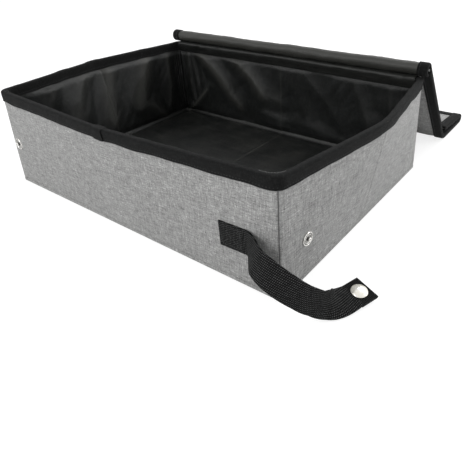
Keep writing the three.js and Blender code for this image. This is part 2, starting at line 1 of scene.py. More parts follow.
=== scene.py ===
"""A foldable litter box: a fabric tray with boards sewn into its walls, a lid that hangs open
behind it, and a webbing strap with a snap. Metres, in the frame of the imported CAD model.
X runs along the tray, Y from the front wall to the back wall and the lid, Z up."""

import math

import bmesh
import bpy
import numpy as np
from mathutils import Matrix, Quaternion, Vector, noise


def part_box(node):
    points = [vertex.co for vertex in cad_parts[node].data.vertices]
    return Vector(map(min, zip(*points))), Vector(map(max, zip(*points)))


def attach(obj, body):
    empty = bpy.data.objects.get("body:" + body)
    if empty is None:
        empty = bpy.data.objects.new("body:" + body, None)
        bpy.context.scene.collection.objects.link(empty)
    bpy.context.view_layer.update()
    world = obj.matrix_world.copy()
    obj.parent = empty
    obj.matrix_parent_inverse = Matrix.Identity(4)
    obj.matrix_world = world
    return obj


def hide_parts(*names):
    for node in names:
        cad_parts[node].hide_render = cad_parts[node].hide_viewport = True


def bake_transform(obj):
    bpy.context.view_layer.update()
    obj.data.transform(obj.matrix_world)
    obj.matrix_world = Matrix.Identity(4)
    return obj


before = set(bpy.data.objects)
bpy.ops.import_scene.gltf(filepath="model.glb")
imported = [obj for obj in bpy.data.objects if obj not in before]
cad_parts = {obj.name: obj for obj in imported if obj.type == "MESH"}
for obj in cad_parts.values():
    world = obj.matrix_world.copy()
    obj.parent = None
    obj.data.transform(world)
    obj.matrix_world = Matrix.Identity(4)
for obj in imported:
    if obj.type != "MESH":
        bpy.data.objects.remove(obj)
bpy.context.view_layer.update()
bpy.ops.object.select_all(action="DESELECT")


# The view: a little right of the near corner and above the rim, as the box is photographed.

view_target = Vector((0.09333, -0.02743, 0))
view_azimuth, view_elevation, view_roll = (math.radians(a) for a in (37.23, 31.30, -1.96))
view_distance = 0.53374
view_back = Vector((
    math.sin(view_azimuth) * math.cos(view_elevation),
    -math.cos(view_azimuth) * math.cos(view_elevation),
    math.sin(view_elevation),
))
bpy.ops.object.camera_add(location=view_target + view_back * view_distance)
camera = bpy.context.object
camera.rotation_mode = "QUATERNION"
level_view = (-view_back).to_track_quat("-Z", "Y")
camera.rotation_quaternion = level_view @ Quaternion((0, 0, 1), view_roll)
camera.data.lens = 35.71
camera.data.shift_x = -0.0633
camera.data.shift_y = -0.0664
camera.data.clip_start = 0.01
bpy.context.scene.camera = camera
bpy.context.scene.view_settings.view_transform = "Standard"


# The studio: a pale floor and soft light from three sides. The camera sees the floor and the
# sky as white, and the floor keeps the object's shadow.

def seen_rays(nodes, links):
    """1 for the rays that show the background: straight to the camera, mirrored or through."""
    light_path = nodes.new("ShaderNodeLightPath")
    seen = light_path.outputs["Is Camera Ray"]
    for other in ("Is Glossy Ray", "Is Transmission Ray"):
        either = nodes.new("ShaderNodeMath")
        either.operation = "MAXIMUM"
        links.new(seen, either.inputs[0])
        links.new(light_path.outputs[other], either.inputs[1])
        seen = either.outputs["Value"]
    return seen


# The floor gives plain pale light to the box. To the camera it shows as white, with the shadow.
floor_paint = bpy.data.materials.new("studio_floor")
floor_paint.use_nodes = True
floor_nodes, floor_links = floor_paint.node_tree.nodes, floor_paint.node_tree.links
floor_nodes["Principled BSDF"].inputs["Base Color"].default_value = (0.72, 0.72, 0.72, 1)
floor_nodes["Principled BSDF"].inputs["Roughness"].default_value = 0.95
floor_shade = floor_nodes.new("ShaderNodeBsdfDiffuse")
floor_shade.inputs["Color"].default_value = (0.36, 0.36, 0.36, 1)
floor_white = floor_nodes.new("ShaderNodeEmission")
floor_white.inputs["Strength"].default_value = 0.79
floor_sum = floor_nodes.new("ShaderNodeAddShader")
floor_mix = floor_nodes.new("ShaderNodeMixShader")
floor_links.new(floor_shade.outputs["BSDF"], floor_sum.inputs[0])
floor_links.new(floor_white.outputs["Emission"], floor_sum.inputs[1])
floor_links.new(seen_rays(floor_nodes, floor_links), floor_mix.inputs["Fac"])
floor_links.new(floor_nodes["Principled BSDF"].outputs["BSDF"], floor_mix.inputs[1])
floor_links.new(floor_sum.outputs["Shader"], floor_mix.inputs[2])
floor_links.new(floor_mix.outputs["Shader"], floor_nodes["Material Output"].inputs["Surface"])

floor_size = 14
bpy.ops.mesh.primitive_plane_add(size=floor_size, location=(0, 0, -0.0003))
floor = bpy.context.object
floor.name = "studio_floor"
floor.data.materials.append(floor_paint)

sky = bpy.data.worlds.new("studio_sky")
bpy.context.scene.world = sky
sky.use_nodes = True
sky_nodes, sky_links = sky.node_tree.nodes, sky.node_tree.links
sky_nodes["Background"].inputs["Color"].default_value = (1, 1, 1, 1)
sky_nodes["Background"].inputs["Strength"].default_value = 0.58
seen_sky = sky_nodes.new("ShaderNodeBackground")
seen_sky.inputs["Color"].default_value = (1, 1, 1, 1)
seen_sky.inputs["Strength"].default_value = 1
sky_mix = sky_nodes.new("ShaderNodeMixShader")
sky_links.new(seen_rays(sky_nodes, sky_links), sky_mix.inputs["Fac"])
sky_links.new(sky_nodes["Background"].outputs["Background"], sky_mix.inputs[1])
sky_links.new(seen_sky.outputs["Background"], sky_mix.inputs[2])
sky_links.new(sky_mix.outputs["Shader"], sky_nodes["World Output"].inputs["Surface"])


def soft_lamp(name, place, aim, size, power):
    bpy.ops.object.light_add(type="AREA", location=place)
    lamp = bpy.context.object
    lamp.name = name
    lamp.data.shape = "SQUARE"
    lamp.data.size = size
    lamp.data.energy = power
    lamp.rotation_mode = "QUATERNION"
    lamp.rotation_quaternion = (Vector(aim) - Vector(place)).to_track_quat("-Z", "Y")


tray_middle = (0, 0, 0.06)
soft_lamp("lamp_front_left", (-0.6, -1.65, 1.2), tray_middle, 1.1, 17.6)
soft_lamp("lamp_right", (1.2, 0.9, 0.8), tray_middle, 0.9, 7.6)
soft_lamp("lamp_behind", (0.3, 1.5, 1.5), tray_middle, 1.2, 15)


# The base: a flat bag of the grey melange cloth with two boards in it, creased across its
# middle. The cloth is turned up round the boards' edges, and the walls stand on that edge.

half_length, half_depth = 0.200, 0.150
base_height = 0.0046
cloth_thickness = 0.0008
base_edge_radius = 0.0014


def new_material(name, roughness, sheen=0.0, specular=0.5, metallic=0.0):
    """A material whose plain numbers sit on its shader. Its nodes are added after."""
    material = bpy.data.materials.new(name)
    material.use_nodes = True
    shader = material.node_tree.nodes["Principled BSDF"]
    shader.inputs["Roughness"].default_value = roughness
    shader.inputs["Sheen Weight"].default_value = sheen
    shader.inputs["Specular IOR Level"].default_value = specular
    shader.inputs["Metallic"].default_value = metallic
    return material, material.node_tree.nodes, material.node_tree.links, shader


def new_group(name, inputs, outputs):
    """A shader node group with named sockets: inputs is a list of (name, type, default)."""
    group = bpy.data.node_groups.new(name, "ShaderNodeTree")
    for socket_name, kind, default in inputs:
        socket = group.interface.new_socket(socket_name, in_out="INPUT", socket_type=kind)
        if default is not None:
            socket.default_value = default
    for socket_name, kind in outputs:
        group.interface.new_socket(socket_name, in_out="OUTPUT", socket_type=kind)
    taken = group.nodes.new("NodeGroupInput")
    given = group.nodes.new("NodeGroupOutput")
    return group, group.nodes, group.links, taken, given


def math_node(nodes, links, operation, first, second=None, third=None):
    """A Math node whose inputs are numbers or sockets, and its output socket."""
    node = nodes.new("ShaderNodeMath")
    node.operation = operation
    for slot, value in enumerate((first, second, third)):
        if isinstance(value, bpy.types.NodeSocket):
            links.new(value, node.inputs[slot])
        elif value is not None:
            node.inputs[slot].default_value = value
    return node.outputs["Value"]


# Uneven threads: long thin streaks both ways over the cloth, as slubs and mixed yarns give.
streaks, nodes, links, taken, given = new_group(
    "thread_streaks",
    [
        ("Cloth", "NodeSocketVector", None),
        ("Threads per metre", "NodeSocketFloat", 900.0),
        ("Length in threads", "NodeSocketFloat", 12.0),
        ("Unevenness", "NodeSocketFloat", 0.6),
    ],
    [("Streaks", "NodeSocketFloat"), ("Height", "NodeSocketFloat")],
)
halves = []
for direction in ("along", "across"):
    split = nodes.new("ShaderNodeSeparateXYZ")
    links.new(taken.outputs["Cloth"], split.inputs["Vector"])
    fewer = math_node(
        nodes, links, "DIVIDE",
        taken.outputs["Threads per metre"], taken.outputs["Length in threads"],
    )
    fine, coarse = taken.outputs["Threads per metre"], fewer
    along_scale, across_scale = (coarse, fine) if direction == "along" else (fine, coarse)
    joined = nodes.new("ShaderNodeCombineXYZ")
    for axis, scale in (("X", along_scale), ("Y", across_scale)):
        stretched_place = math_node(nodes, links, "MULTIPLY", split.outputs[axis], scale)
        links.new(stretched_place, joined.inputs[axis])
    joined.inputs["Z"].default_value = 3.7 if direction == "along" else 11.3
    grain = nodes.new("ShaderNodeTexNoise")
    grain.inputs["Scale"].default_value = 1.0
    grain.inputs["Detail"].default_value = 3.0
    links.new(taken.outputs["Unevenness"], grain.inputs["Roughness"])
    links.new(joined.outputs["Vector"], grain.inputs["Vector"])
    halves.append(grain.outputs["Fac"])
both = math_node(nodes, links, "ADD", halves[0], halves[1])
links.new(math_node(nodes, links, "MULTIPLY", both, 0.5), given.inputs["Streaks"])
links.new(math_node(nodes, links, "MAXIMUM", halves[0], halves[1]), given.inputs["Height"])

# Plain weave: rounded threads that pass over and under each other
weave, nodes, links, taken, given = new_group(
    "plain_weave",
    [("Cloth", "NodeSocketVector", None), ("Threads per metre", "NodeSocketFloat", 1800.0)],
    [("Height", "NodeSocketFloat")],
)
split = nodes.new("ShaderNodeSeparateXYZ")
links.new(taken.outputs["Cloth"], split.inputs["Vector"])
turn_rate = math_node(nodes, links, "MULTIPLY", taken.outputs["Threads per metre"], math.pi)
waves = []
for axis in ("X", "Y"):
    turned = math_node(nodes, links, "MULTIPLY", split.outputs[axis], turn_rate)
    waves.append(math_node(nodes, links, "SINE", turned))
over_under = math_node(nodes, links, "MULTIPLY", waves[0], waves[1])
links.new(math_node(nodes, links, "MULTIPLY_ADD", over_under, 0.5, 0.5), given.inputs["Height"])


def placed_group(nodes, group, values):
    """A group node with its own values; one that is a socket is linked."""
    node = nodes.new("ShaderNodeGroup")
    node.node_tree = group
    for name, value in values.items():
        if isinstance(value, bpy.types.NodeSocket):
            node.id_data.links.new(value, node.inputs[name])
        else:
            node.inputs[name].default_value = value
    return node


def streaks_on(nodes, cloth, per_metre, length, unevenness):
    """The streaks of one kind of yarn: how many to the metre, and how long in threads."""
    return placed_group(nodes, streaks, {
        "Cloth": cloth, "Threads per metre": per_metre,
        "Length in threads": length, "Unevenness": unevenness,
    })


def ramp(nodes, links, value, stops):
    """A colour ramp from a list of (place, colour)."""
    node = nodes.new("ShaderNodeValToRGB")
    while len(node.color_ramp.elements) < len(stops):
        node.color_ramp.elements.new(0.5)
    for element, (place, colour) in zip(node.color_ramp.elements, stops):
        element.position = place
        element.color = (*colour, 1)
    links.new(value, node.inputs["Fac"])
    return node.outputs["Color"]


def bump(nodes, links, shader, height, distance):
    """Relief in the shading: the height's whole range is as deep as the distance."""
    node = nodes.new("ShaderNodeBump")
    node.inputs["Strength"].default_value = 1.0
    node.inputs["Distance"].default_value = distance
    links.new(height, node.inputs["Height"])
    links.new(node.outputs["Normal"], shader.inputs["Normal"])


def masked_colour(nodes, links, mask_name, colour, where_masked):
    """A colour that goes over to a second one as far as a mask on the mesh says."""
    mask = nodes.new("ShaderNodeAttribute")
    mask.attribute_name = mask_name
    mix = nodes.new("ShaderNodeMix")
    mix.data_type = "RGBA"
    sockets = {socket.name: socket for socket in mix.inputs if socket.enabled}
    links.new(mask.outputs["Fac"], sockets["Factor"])
    links.new(colour, sockets["A"])
    sockets["B"].default_value = (*where_masked, 1)
    return next(socket for socket in mix.outputs if socket.enabled)


# The melange cloth: pale and dark grey yarns mixed at random, matt, with a little lint
cover_cloth, nodes, links, shader = new_material(
    "melange_cover_cloth", 0.88, sheen=0.12, specular=0.25,
)
cloth_uv = nodes.new("ShaderNodeUVMap").outputs["UV"]
yarns = streaks_on(nodes, cloth_uv, per_metre=1150.0, length=9.0, unevenness=0.62)
flecks = streaks_on(nodes, cloth_uv, per_metre=1900.0, length=2.2, unevenness=0.6)
threads = placed_group(nodes, weave, {"Cloth": cloth_uv, "Threads per metre": 1500.0})
mixed_yarns = math_node(
    nodes, links, "MULTIPLY_ADD", yarns.outputs["Streaks"], 0.55,
    math_node(nodes, links, "MULTIPLY", flecks.outputs["Streaks"], 0.45),
)
yarn_colour = ramp(nodes, links, mixed_yarns, [
    (0.395, (0.13, 0.13, 0.128)),
    (0.465, (0.30, 0.30, 0.296)),
    (0.530, (0.37, 0.37, 0.366)),
    (0.600, (0.68, 0.68, 0.672)),
])
# Painted shade: the cloth goes dark along each corner's seam, partly for its dark thread, and
# faintly along the creases
yarns_with_seam_shade = masked_colour(nodes, links, "seam", yarn_colour, (0.07, 0.07, 0.07))
links.new(yarns_with_seam_shade, shader.inputs["Base Color"])
cloth_height = math_node(
    nodes, links, "MULTIPLY_ADD", threads.outputs["Height"], 0.45, yarns.outputs["Height"],
)
bump(nodes, links, shader, cloth_height, 0.0004)

# The coated lining: a close black weave with a faint sheen, a little paler where it creases, worn
# in patches, and painted paler as sheen on folds, floor and lid roll
lining_cloth, nodes, links, shader = new_material("coated_black_lining", 0.42, specular=0.29)
cloth_uv = nodes.new("ShaderNodeUVMap").outputs["UV"]
yarns = streaks_on(nodes, cloth_uv, per_metre=1400.0, length=6.0, unevenness=0.6)
threads = placed_group(nodes, weave, {"Cloth": cloth_uv, "Threads per metre": 2200.0})
wear = streaks_on(nodes, cloth_uv, per_metre=130.0, length=2.5, unevenness=0.7)
worn_yarns = math_node(
    nodes, links, "MULTIPLY_ADD", yarns.outputs["Streaks"], 0.6,
    math_node(nodes, links, "MULTIPLY", wear.outputs["Streaks"], 0.4),
)
coating = ramp(nodes, links, worn_yarns, [
    (0.38, (0.0040, 0.0045, 0.0043)),
    (0.50, (0.0095, 0.0104, 0.0100)),
    (0.62, (0.0200, 0.0213, 0.0205)),
])
# Painted sheen and wear: the mask turns the coating pale grey, as sheen on folds and on the roll,
# and as wear in patches
coating_wear_and_sheen = masked_colour(nodes, links, "wear_and_sheen", coating, (0.062, 0.062, 0.056))
links.new(coating_wear_and_sheen, shader.inputs["Base Color"])
coating_roughness = math_node(nodes, links, "MULTIPLY_ADD", worn_yarns, -0.6, 0.66)
links.new(coating_roughness, shader.inputs["Roughness"])
cloth_height = math_node(
    nodes, links, "MULTIPLY_ADD", threads.outputs["Height"], 0.4, yarns.outputs["Height"],
)
bump(nodes, links, shader, cloth_height, 0.00025)

# The boards: grey-brown pressed board, seen only where the cloth is away
board_stock, nodes, links, shader = new_material("pressed_board", 0.8, specular=0.3)
board_place = nodes.new("ShaderNodeTexCoord").outputs["Object"]
fibres = streaks_on(nodes, board_place, per_metre=420.0, length=4.0, unevenness=0.8)
links.new(ramp(nodes, links, fibres.outputs["Streaks"], [
    (0.35, (0.42, 0.39, 0.32)),
    (0.65, (0.62, 0.59, 0.51)),
]), shader.inputs["Base Color"])
bump(nodes, links, shader, fibres.outputs["Height"], 0.0002)
for node_name, node_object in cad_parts.items():
    if "_board" in node_name:
        node_object.data.materials.clear()
        node_object.data.materials.append(board_stock)


def select_only(piece):
    bpy.ops.object.select_all(action="DESELECT")
    piece.select_set(True)
    bpy.context.view_layer.objects.active = piece


def smooth(piece):
    select_only(piece)
    bpy.ops.object.shade_smooth_by_angle(angle=math.radians(50))


def thicken(piece, thickness, offset=-1.0):
    """Gives a cloth its thickness, away from the side that its faces point to."""
    select_only(piece)
    solid = piece.modifiers.new("thickness", "SOLIDIFY")
    solid.thickness = thickness
    solid.offset = offset
    bpy.ops.object.modifier_apply(modifier=solid.name)
    smooth(piece)


def cloth_grid(name, runs, rises, place, material, flip=False, masks=None):
    """A sheet of cloth on a grid. runs and rises are its flat coordinates along and across, and
    place gives the points of the whole grid. The UV map holds the flat coordinates."""
    runs, rises = np.asarray(runs, float), np.asarray(rises, float)
    bpy.ops.object.select_all(action="DESELECT")
    bpy.ops.mesh.primitive_grid_add(
        x_subdivisions=len(runs) - 1, y_subdivisions=len(rises) - 1, size=1,
    )
    piece = bpy.context.object
    piece.name = piece.data.name = name
    mesh = piece.data
    flat = np.zeros(len(mesh.vertices) * 3)
    mesh.vertices.foreach_get("co", flat)
    flat = flat.reshape(-1, 3)
    column = np.rint((flat[:, 0] + 0.5) * (len(runs) - 1)).astype(int)
    row = np.rint((flat[:, 1] + 0.5) * (len(rises) - 1)).astype(int)
    points = place(runs[None, :], rises[:, None])
    mesh.vertices.foreach_set("co", points[row, column].ravel())
    corner_of = np.zeros(len(mesh.loops), int)
    mesh.loops.foreach_get("vertex_index", corner_of)
    uv = np.stack([runs[column], rises[row]], axis=1)[corner_of]
    mesh.uv_layers.active.data.foreach_set("uv", uv.ravel())
    for mask_name, mask in (masks or {}).items():
        attribute = mesh.attributes.new(mask_name, "FLOAT", "POINT")
        values = mask(runs[None, :], rises[:, None])
        attribute.data.foreach_set("value", values[row, column].astype(np.float32))
    if flip:
        mesh.flip_normals()
    mesh.update()
    piece.data.materials.clear()
    piece.data.materials.append(material)
    return piece


def evenly(start, stop, step):
    """Places from start to stop, about step apart."""
    count = max(1, round(abs(stop - start) / step))
    return list(np.linspace(start, stop, count + 1))


def box_uv(piece):
    """UV in metres, each face laid flat from the side that it looks to most."""
    mesh = piece.data
    layer = mesh.uv_layers.active or mesh.uv_layers.new(name="flat")
    for face in mesh.polygons:
        axis = max(range(3), key=lambda i: abs(face.normal[i]))
        across, up = ((1, 2), (0, 2), (0, 1))[axis]
        for loop in face.loop_indices:
            spot = mesh.vertices[mesh.loops[loop].vertex_index].co
            layer.data[loop].uv = (spot[across], spot[up])


# The bag's bottom and turned up edges, one folded sheet
bpy.ops.mesh.primitive_cube_add(size=1, location=(0, 0, base_height / 2))
base_cloth = bpy.context.object
base_cloth.name = base_cloth.data.name = "base_cloth"
base_cloth.scale = (2 * half_length, 2 * half_depth, base_height)
bpy.ops.object.transform_apply(location=True, rotation=False, scale=True)
folded = bmesh.new()
folded.from_mesh(base_cloth.data)
bmesh.ops.delete(folded, geom=[f for f in folded.faces if f.normal.z > 0.5], context="FACES_ONLY")
turned_edges = [e for e in folded.edges if len(e.link_faces) == 2]
bmesh.ops.bevel(
    folded, geom=turned_edges, offset=base_edge_radius, segments=4, profile=0.5, affect="EDGES",
)
folded.to_mesh(base_cloth.data)
folded.free()
base_cloth.data.materials.append(cover_cloth)
box_uv(base_cloth)
thicken(base_cloth, cloth_thickness)
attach(base_cloth, "root")
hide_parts("base_cover")


def uneven(along, up, size, seed):
    """Smooth uneven bumps, about one size across, from about -0.6 to 0.6."""
    spots = np.stack(np.broadcast_arrays(along / size, up / size, float(seed)), axis=-1)
    values = [noise.noise(spot) for spot in spots.reshape(-1, 3)]
    return np.array(values).reshape(spots.shape[:-1])


def bell(distance, width):
    """1 where the distance is 0, and fading away smoothly on both sides of it."""
    return np.exp(-(distance / width) ** 2)


# The floor's lining lies on the boards, and sinks a little into the gap between them. It also
# sags a little between its seams, by floor_sag at most
floor_half_x, floor_half_y = 0.1989, 0.1489
floor_level, floor_sink, floor_sag = 0.0046, 0.00028, 0.00052
floor_dip, floor_wrinkle = 0.0004, 0.0003
floor_seam_inset, crease_width = 0.0062, 0.0011


def floor_inside(runs, rises):
    """How far places on the floor are from its nearest edge."""
    return np.minimum(floor_half_x - np.abs(runs), floor_half_y - np.abs(rises))


def floor_place(runs, rises):
    crease = floor_sink * bell(runs, crease_width)
    crease = crease + 0.00012 * bell(runs, 0.008)
    dips = floor_dip * np.clip(0.4 + uneven(runs, rises * 0.6, 0.05, 3), 0, 1)
    dips = dips + floor_wrinkle * np.abs(uneven(runs + rises, rises * 0.7, 0.014, 8))
    edge = np.clip(floor_inside(runs, rises) / 0.012, 0, 1)
    dips = np.minimum(dips, floor_sag) * edge * (1 - bell(runs, 0.006))
    return np.stack(np.broadcast_arrays(runs, rises, floor_level - crease - dips), axis=-1)


def floor_lines_and_sheen(runs, rises):
    """Paler along the crease and at the seam to the walls, and painted sheen in streaky patches."""
    from_seam = floor_inside(runs, rises) - floor_seam_inset
    lines = 0.55 * bell(runs, crease_width) + 0.3 * bell(from_seam, 0.0009)
    lines = lines * np.clip(0.8 + 1.2 * uneven(runs, rises, 0.012, 19), 0.2, 1)
    # Painted sheen: streaky paler patches stand in for the coating's sheen
    patches = 0.36 * np.clip(uneven(runs, rises * 0.5, 0.03, 15) + 0.08, 0, 1)
    patches = patches + 0.34 * np.clip(uneven(runs * 0.4, rises, 0.009, 17), 0, 1)
    return np.clip(lines + patches, 0, 1)


def both_sides(places):
    """Places that end at 0, and the same again on the other side of it."""
    return places + [-place for place in reversed(places[:-1])]


# Its grid is close where it's sewn and creased
floor_columns = evenly(-floor_half_x, -0.187, 0.0006) + evenly(-0.185, -0.012, 0.002)
floor_columns += evenly(-0.011, 0, 0.0005)
floor_rows = evenly(-floor_half_y, -0.137, 0.0006) + evenly(-0.135, 0, 0.002)
floor_thickness = 0.0005
floor_cloth = cloth_grid(
    "floor_cloth", both_sides(floor_columns), both_sides(floor_rows), floor_place, lining_cloth,
    masks={"wear_and_sheen": floor_lines_and_sheen},
)
thicken(floor_cloth, floor_thickness)
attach(floor_cloth, "root")
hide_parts("floor_lining")


# The walls' outer cloth: one long strip of the grey melange cloth round the tray, sewn at its
# corners and creased in the middle of both ends, where the walls fold when it is packed away.

rim_height, corner_lean = 0.118, 0.003
front_bulge, end_bulge = 0.009, 0.020
wall_foot = 0.00485
turn_softness = 0.0012


def corner_points(side_x, side_y, runs, heights, depths, rounding, softness=turn_softness):
    """Points of cloth that goes round a corner of the tray. Runs are measured from the corner,
    below 0 on the long wall and above 0 on the end. Depths go in from the walls' outside."""
    lean = heights / rim_height
    long_slope = lean * ((front_bulge if side_y < 0 else 0) + corner_lean) / half_length
    end_slope = lean * (end_bulge + corner_lean) / half_depth
    start = depths + corner_lean * lean
    meet_x = start * (1 - end_slope) / (1 - end_slope * long_slope)
    meet_y = start - long_slope * meet_x
    straight = np.maximum(np.abs(runs) - rounding, 0)
    long_in, end_in = (
        meet + rounding + straight * (length - meet - rounding) / (length - rounding)
        for meet, length in ((meet_x, half_length), (meet_y, half_depth / 2))
    )
    turn = np.clip((runs / rounding + 1) / 2, 0, 1)
    shares = ((1 - turn) ** 2, 2 * turn * (1 - turn), turn**2)
    before = (meet_x + rounding, start - long_slope * (meet_x + rounding))
    after = (start - end_slope * (meet_y + rounding), meet_y + rounding)
    turned = [
        shares[0] * first + shares[1] * middle + shares[2] * last
        for first, middle, last in zip(before, (meet_x, meet_y), after)
    ]
    on_long, on_end = runs < -rounding, runs > rounding
    long_out = half_length - np.sqrt((half_length - long_in) ** 2 + softness**2)
    end_out = half_depth - np.sqrt((half_depth - end_in) ** 2 + softness**2)
    in_x = np.where(on_long, long_in, np.where(on_end, start - end_slope * end_out, turned[0]))
    in_y = np.where(on_long, start - long_slope * long_out, np.where(on_end, end_in, turned[1]))
    x, y = side_x * (half_length - in_x), side_y * (half_depth - in_y)
    return np.stack(np.broadcast_arrays(x, y, heights), axis=-1)


def crease_points(side_x, runs, heights, depths, softness=turn_softness):
    """Points of an end wall's cloth. Runs are measured from its crease, above 0 to the front."""
    lean = heights / rim_height
    end_slope = lean * (end_bulge + corner_lean) / half_depth
    from_corner = half_depth - np.sqrt(runs**2 + softness**2)
    inset = depths + lean * corner_lean - end_slope * from_corner
    x, y = side_x * (half_length - inset), -runs + 0 * inset
    return np.stack(np.broadcast_arrays(x, y, heights), axis=-1)


# Each strip: the walls that it covers, its sides of the tray, its runs, and the bodies that it
# joins with the places between which it turns. The left crease goes from front to back
wall_strips = {
    "back_right": (("back", "right_end_back"), (1, 1), (-0.2, 0.075),
                   ("root", "right_end_back"), ((0.192, 0.150, 0), (0.200, 0.142, 0))),
    "right_crease": (("right_end_back", "right_end_front"), (1, 0), (-0.075, 0.075),
                     ("right_end_back", "right_end_front"),
                     ((0.21, 0.0035, 0), (0.21, -0.0035, 0))),
    "front_right": (("front", "right_end_front"), (1, -1), (-0.2, 0.075),
                    ("front_wall", "right_end_front"), ((0.192, -0.150, 0), (0.200, -0.142, 0))),
    "back_left": (("back", "left_end_back"), (-1, 1), (-0.2, 0.075),
                  ("root", "left_end_back"), ((-0.192, 0.150, 0), (-0.200, 0.142, 0))),
    "left_crease": (("left_end_back", "left_end_front"), (-1, 0), (-0.075, 0.075),
                    ("left_end_front", "left_end_back"),
                    ((-0.21, -0.0035, 0), (-0.21, 0.0035, 0))),
    "left_front_end": (("left_end_front",), (-1, -1), (0, 0.075), ("left_end_front",), None),
    "front_left": (("front",), (-1, -1), (-0.2, 0), ("front_wall",), None),
}


def strip_points(strip, runs, heights, depths, rounding, softness=turn_softness):
    side_x, side_y = wall_strips[strip][1]
    if side_y == 0:
        return crease_points(side_x, runs, heights, depths, softness)
    return corner_points(side_x, side_y, runs, heights, depths, rounding, softness)


def strip_runs(strip, coarse, fine):
    """Places along a strip, close together where it turns."""
    start, end = wall_strips[strip][2]
    on_crease = wall_strips[strip][1][1] == 0
    reach = 0.006 if on_crease else 0.016
    runs = [start]
    while runs[-1] < end - 1e-6:
        step = fine if abs(runs[-1] + coarse / 2) < reach + coarse / 2 else coarse
        runs.append(min(runs[-1] + step, end))
    if len(runs) > 2 and runs[-1] - runs[-2] < fine / 3:
        runs.pop(-2)
    return runs


def along_wall(strip, runs):
    """Whether places on a strip are on an end wall, and how far along that wall they are, also
    with a distance of the wall's own added, so that uneven() differs from wall to wall."""
    side_x, side_y = wall_strips[strip][1]
    if side_y == 0:
        return runs > -9, -runs, 5 * side_x - runs
    on_end = runs > 0
    from_corner = np.abs(runs)
    along = np.where(
        on_end, side_y * (half_depth - from_corner), side_x * (half_length - from_corner),
    )
    return on_end, along, along + np.where(on_end, 5 * side_x, 9 * (side_y + 3))


def facing_out(strip):
    """Whether a grid on this strip must be turned over to face outwards."""
    side_x, side_y = wall_strips[strip][1]
    return side_x > 0 if side_y == 0 else side_x * side_y > 0


def fasten(piece, strip, layer, flat=None):
    """Fastens a strip's piece to the body of its walls. A piece that turns between two bodies is
    only baked in place.
    """
    walls, _, _, bodies, turn = wall_strips[strip]
    if turn:
        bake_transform(piece)
    else:
        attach(piece, bodies[0])
    if layer:
        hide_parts(*[f"{wall}_{layer}" for wall in walls])
    if flat:
        boards = []
        for wall in walls:
            halves = ("_left", "_right") if wall in ("back", "front") else ("",)
            boards += [f"{wall}_board{half}" for half in halves]


def cover_rounding(heights):
    return 0.0015 + 0.0067 * np.clip((heights - 0.01) / 0.09, 0, 1) ** 1.3


# The cloth is smooth over the boards, with soft waves. It is drawn in along each corner's seam
# and along the creases, the faint ones in the middle of the long walls too
cover_wave, cover_hem = 0.0008, 0.0004
corner_seam, middle_crease = 0.0005, 0.0003
cover_top = 0.1145


def cover_place(strip):
    side_y = wall_strips[strip][1][1]

    def place(runs, heights):
        waves = 0.5 + uneven(along_wall(strip, runs)[2], heights * 0.7, 0.045, 5)
        waves = cover_wave * waves * np.clip((heights - wall_foot) / 0.02, 0, 1)
        near_turn = 1 - bell(runs, 0.012)
        groove = corner_seam * bell(runs, 0.0008)
        if side_y != 0:
            groove = groove + middle_crease * bell(runs + half_length, 0.0015)
        hem = cover_hem * bell(heights - wall_foot, 0.0012)
        depths = groove + hem - waves * near_turn
        softness = turn_softness + 0.0045 * np.clip(heights / rim_height, 0, 1) ** 2
        return strip_points(strip, runs, heights, depths, cover_rounding(heights), softness)

    return place


def seam_shade(strip):
    """Dark along a corner's sewn seam, for its dark thread and as painted shade in its groove, and
    faintly so along a crease, as painted shade only.
    """
    side_y = wall_strips[strip][1][1]

    def mask(runs, heights):
        width = 0.0007 if side_y else 0.0004
        strength = 0.85 if side_y else 0.3
        return strength * np.exp(-(runs / width) ** 4) + 0 * heights

    return mask


cover_heights = [wall_foot, wall_foot + 0.0008, wall_foot + 0.002]
cover_heights += evenly(wall_foot + 0.004, cover_top, 0.004)
for strip in wall_strips:
    runs = strip_runs(strip, 0.004, 0.0007)
    piece = cloth_grid(
        f"wall_cloth_{strip}", runs, cover_heights, cover_place(strip), cover_cloth,
        flip=facing_out(strip), masks={"seam": seam_shade(strip)},
    )
    thicken(piece, cloth_thickness)
    fasten(piece, strip, "cover", flat=(runs[-1] - runs[0], cover_top - wall_foot))


# The walls' lining: the black coated cloth, cut a little too long and only held at the rim and
# at the foot. It hangs loose over the boards, and gathers in pleats where the walls turn.

lining_depth, lining_cloth_thickness = 0.0046, 0.0008
lining_top = 0.1145
lining_slack, lining_crease, lining_pleat = 0.0046, 0.0006, 0.0012
lining_reach = 0.0072

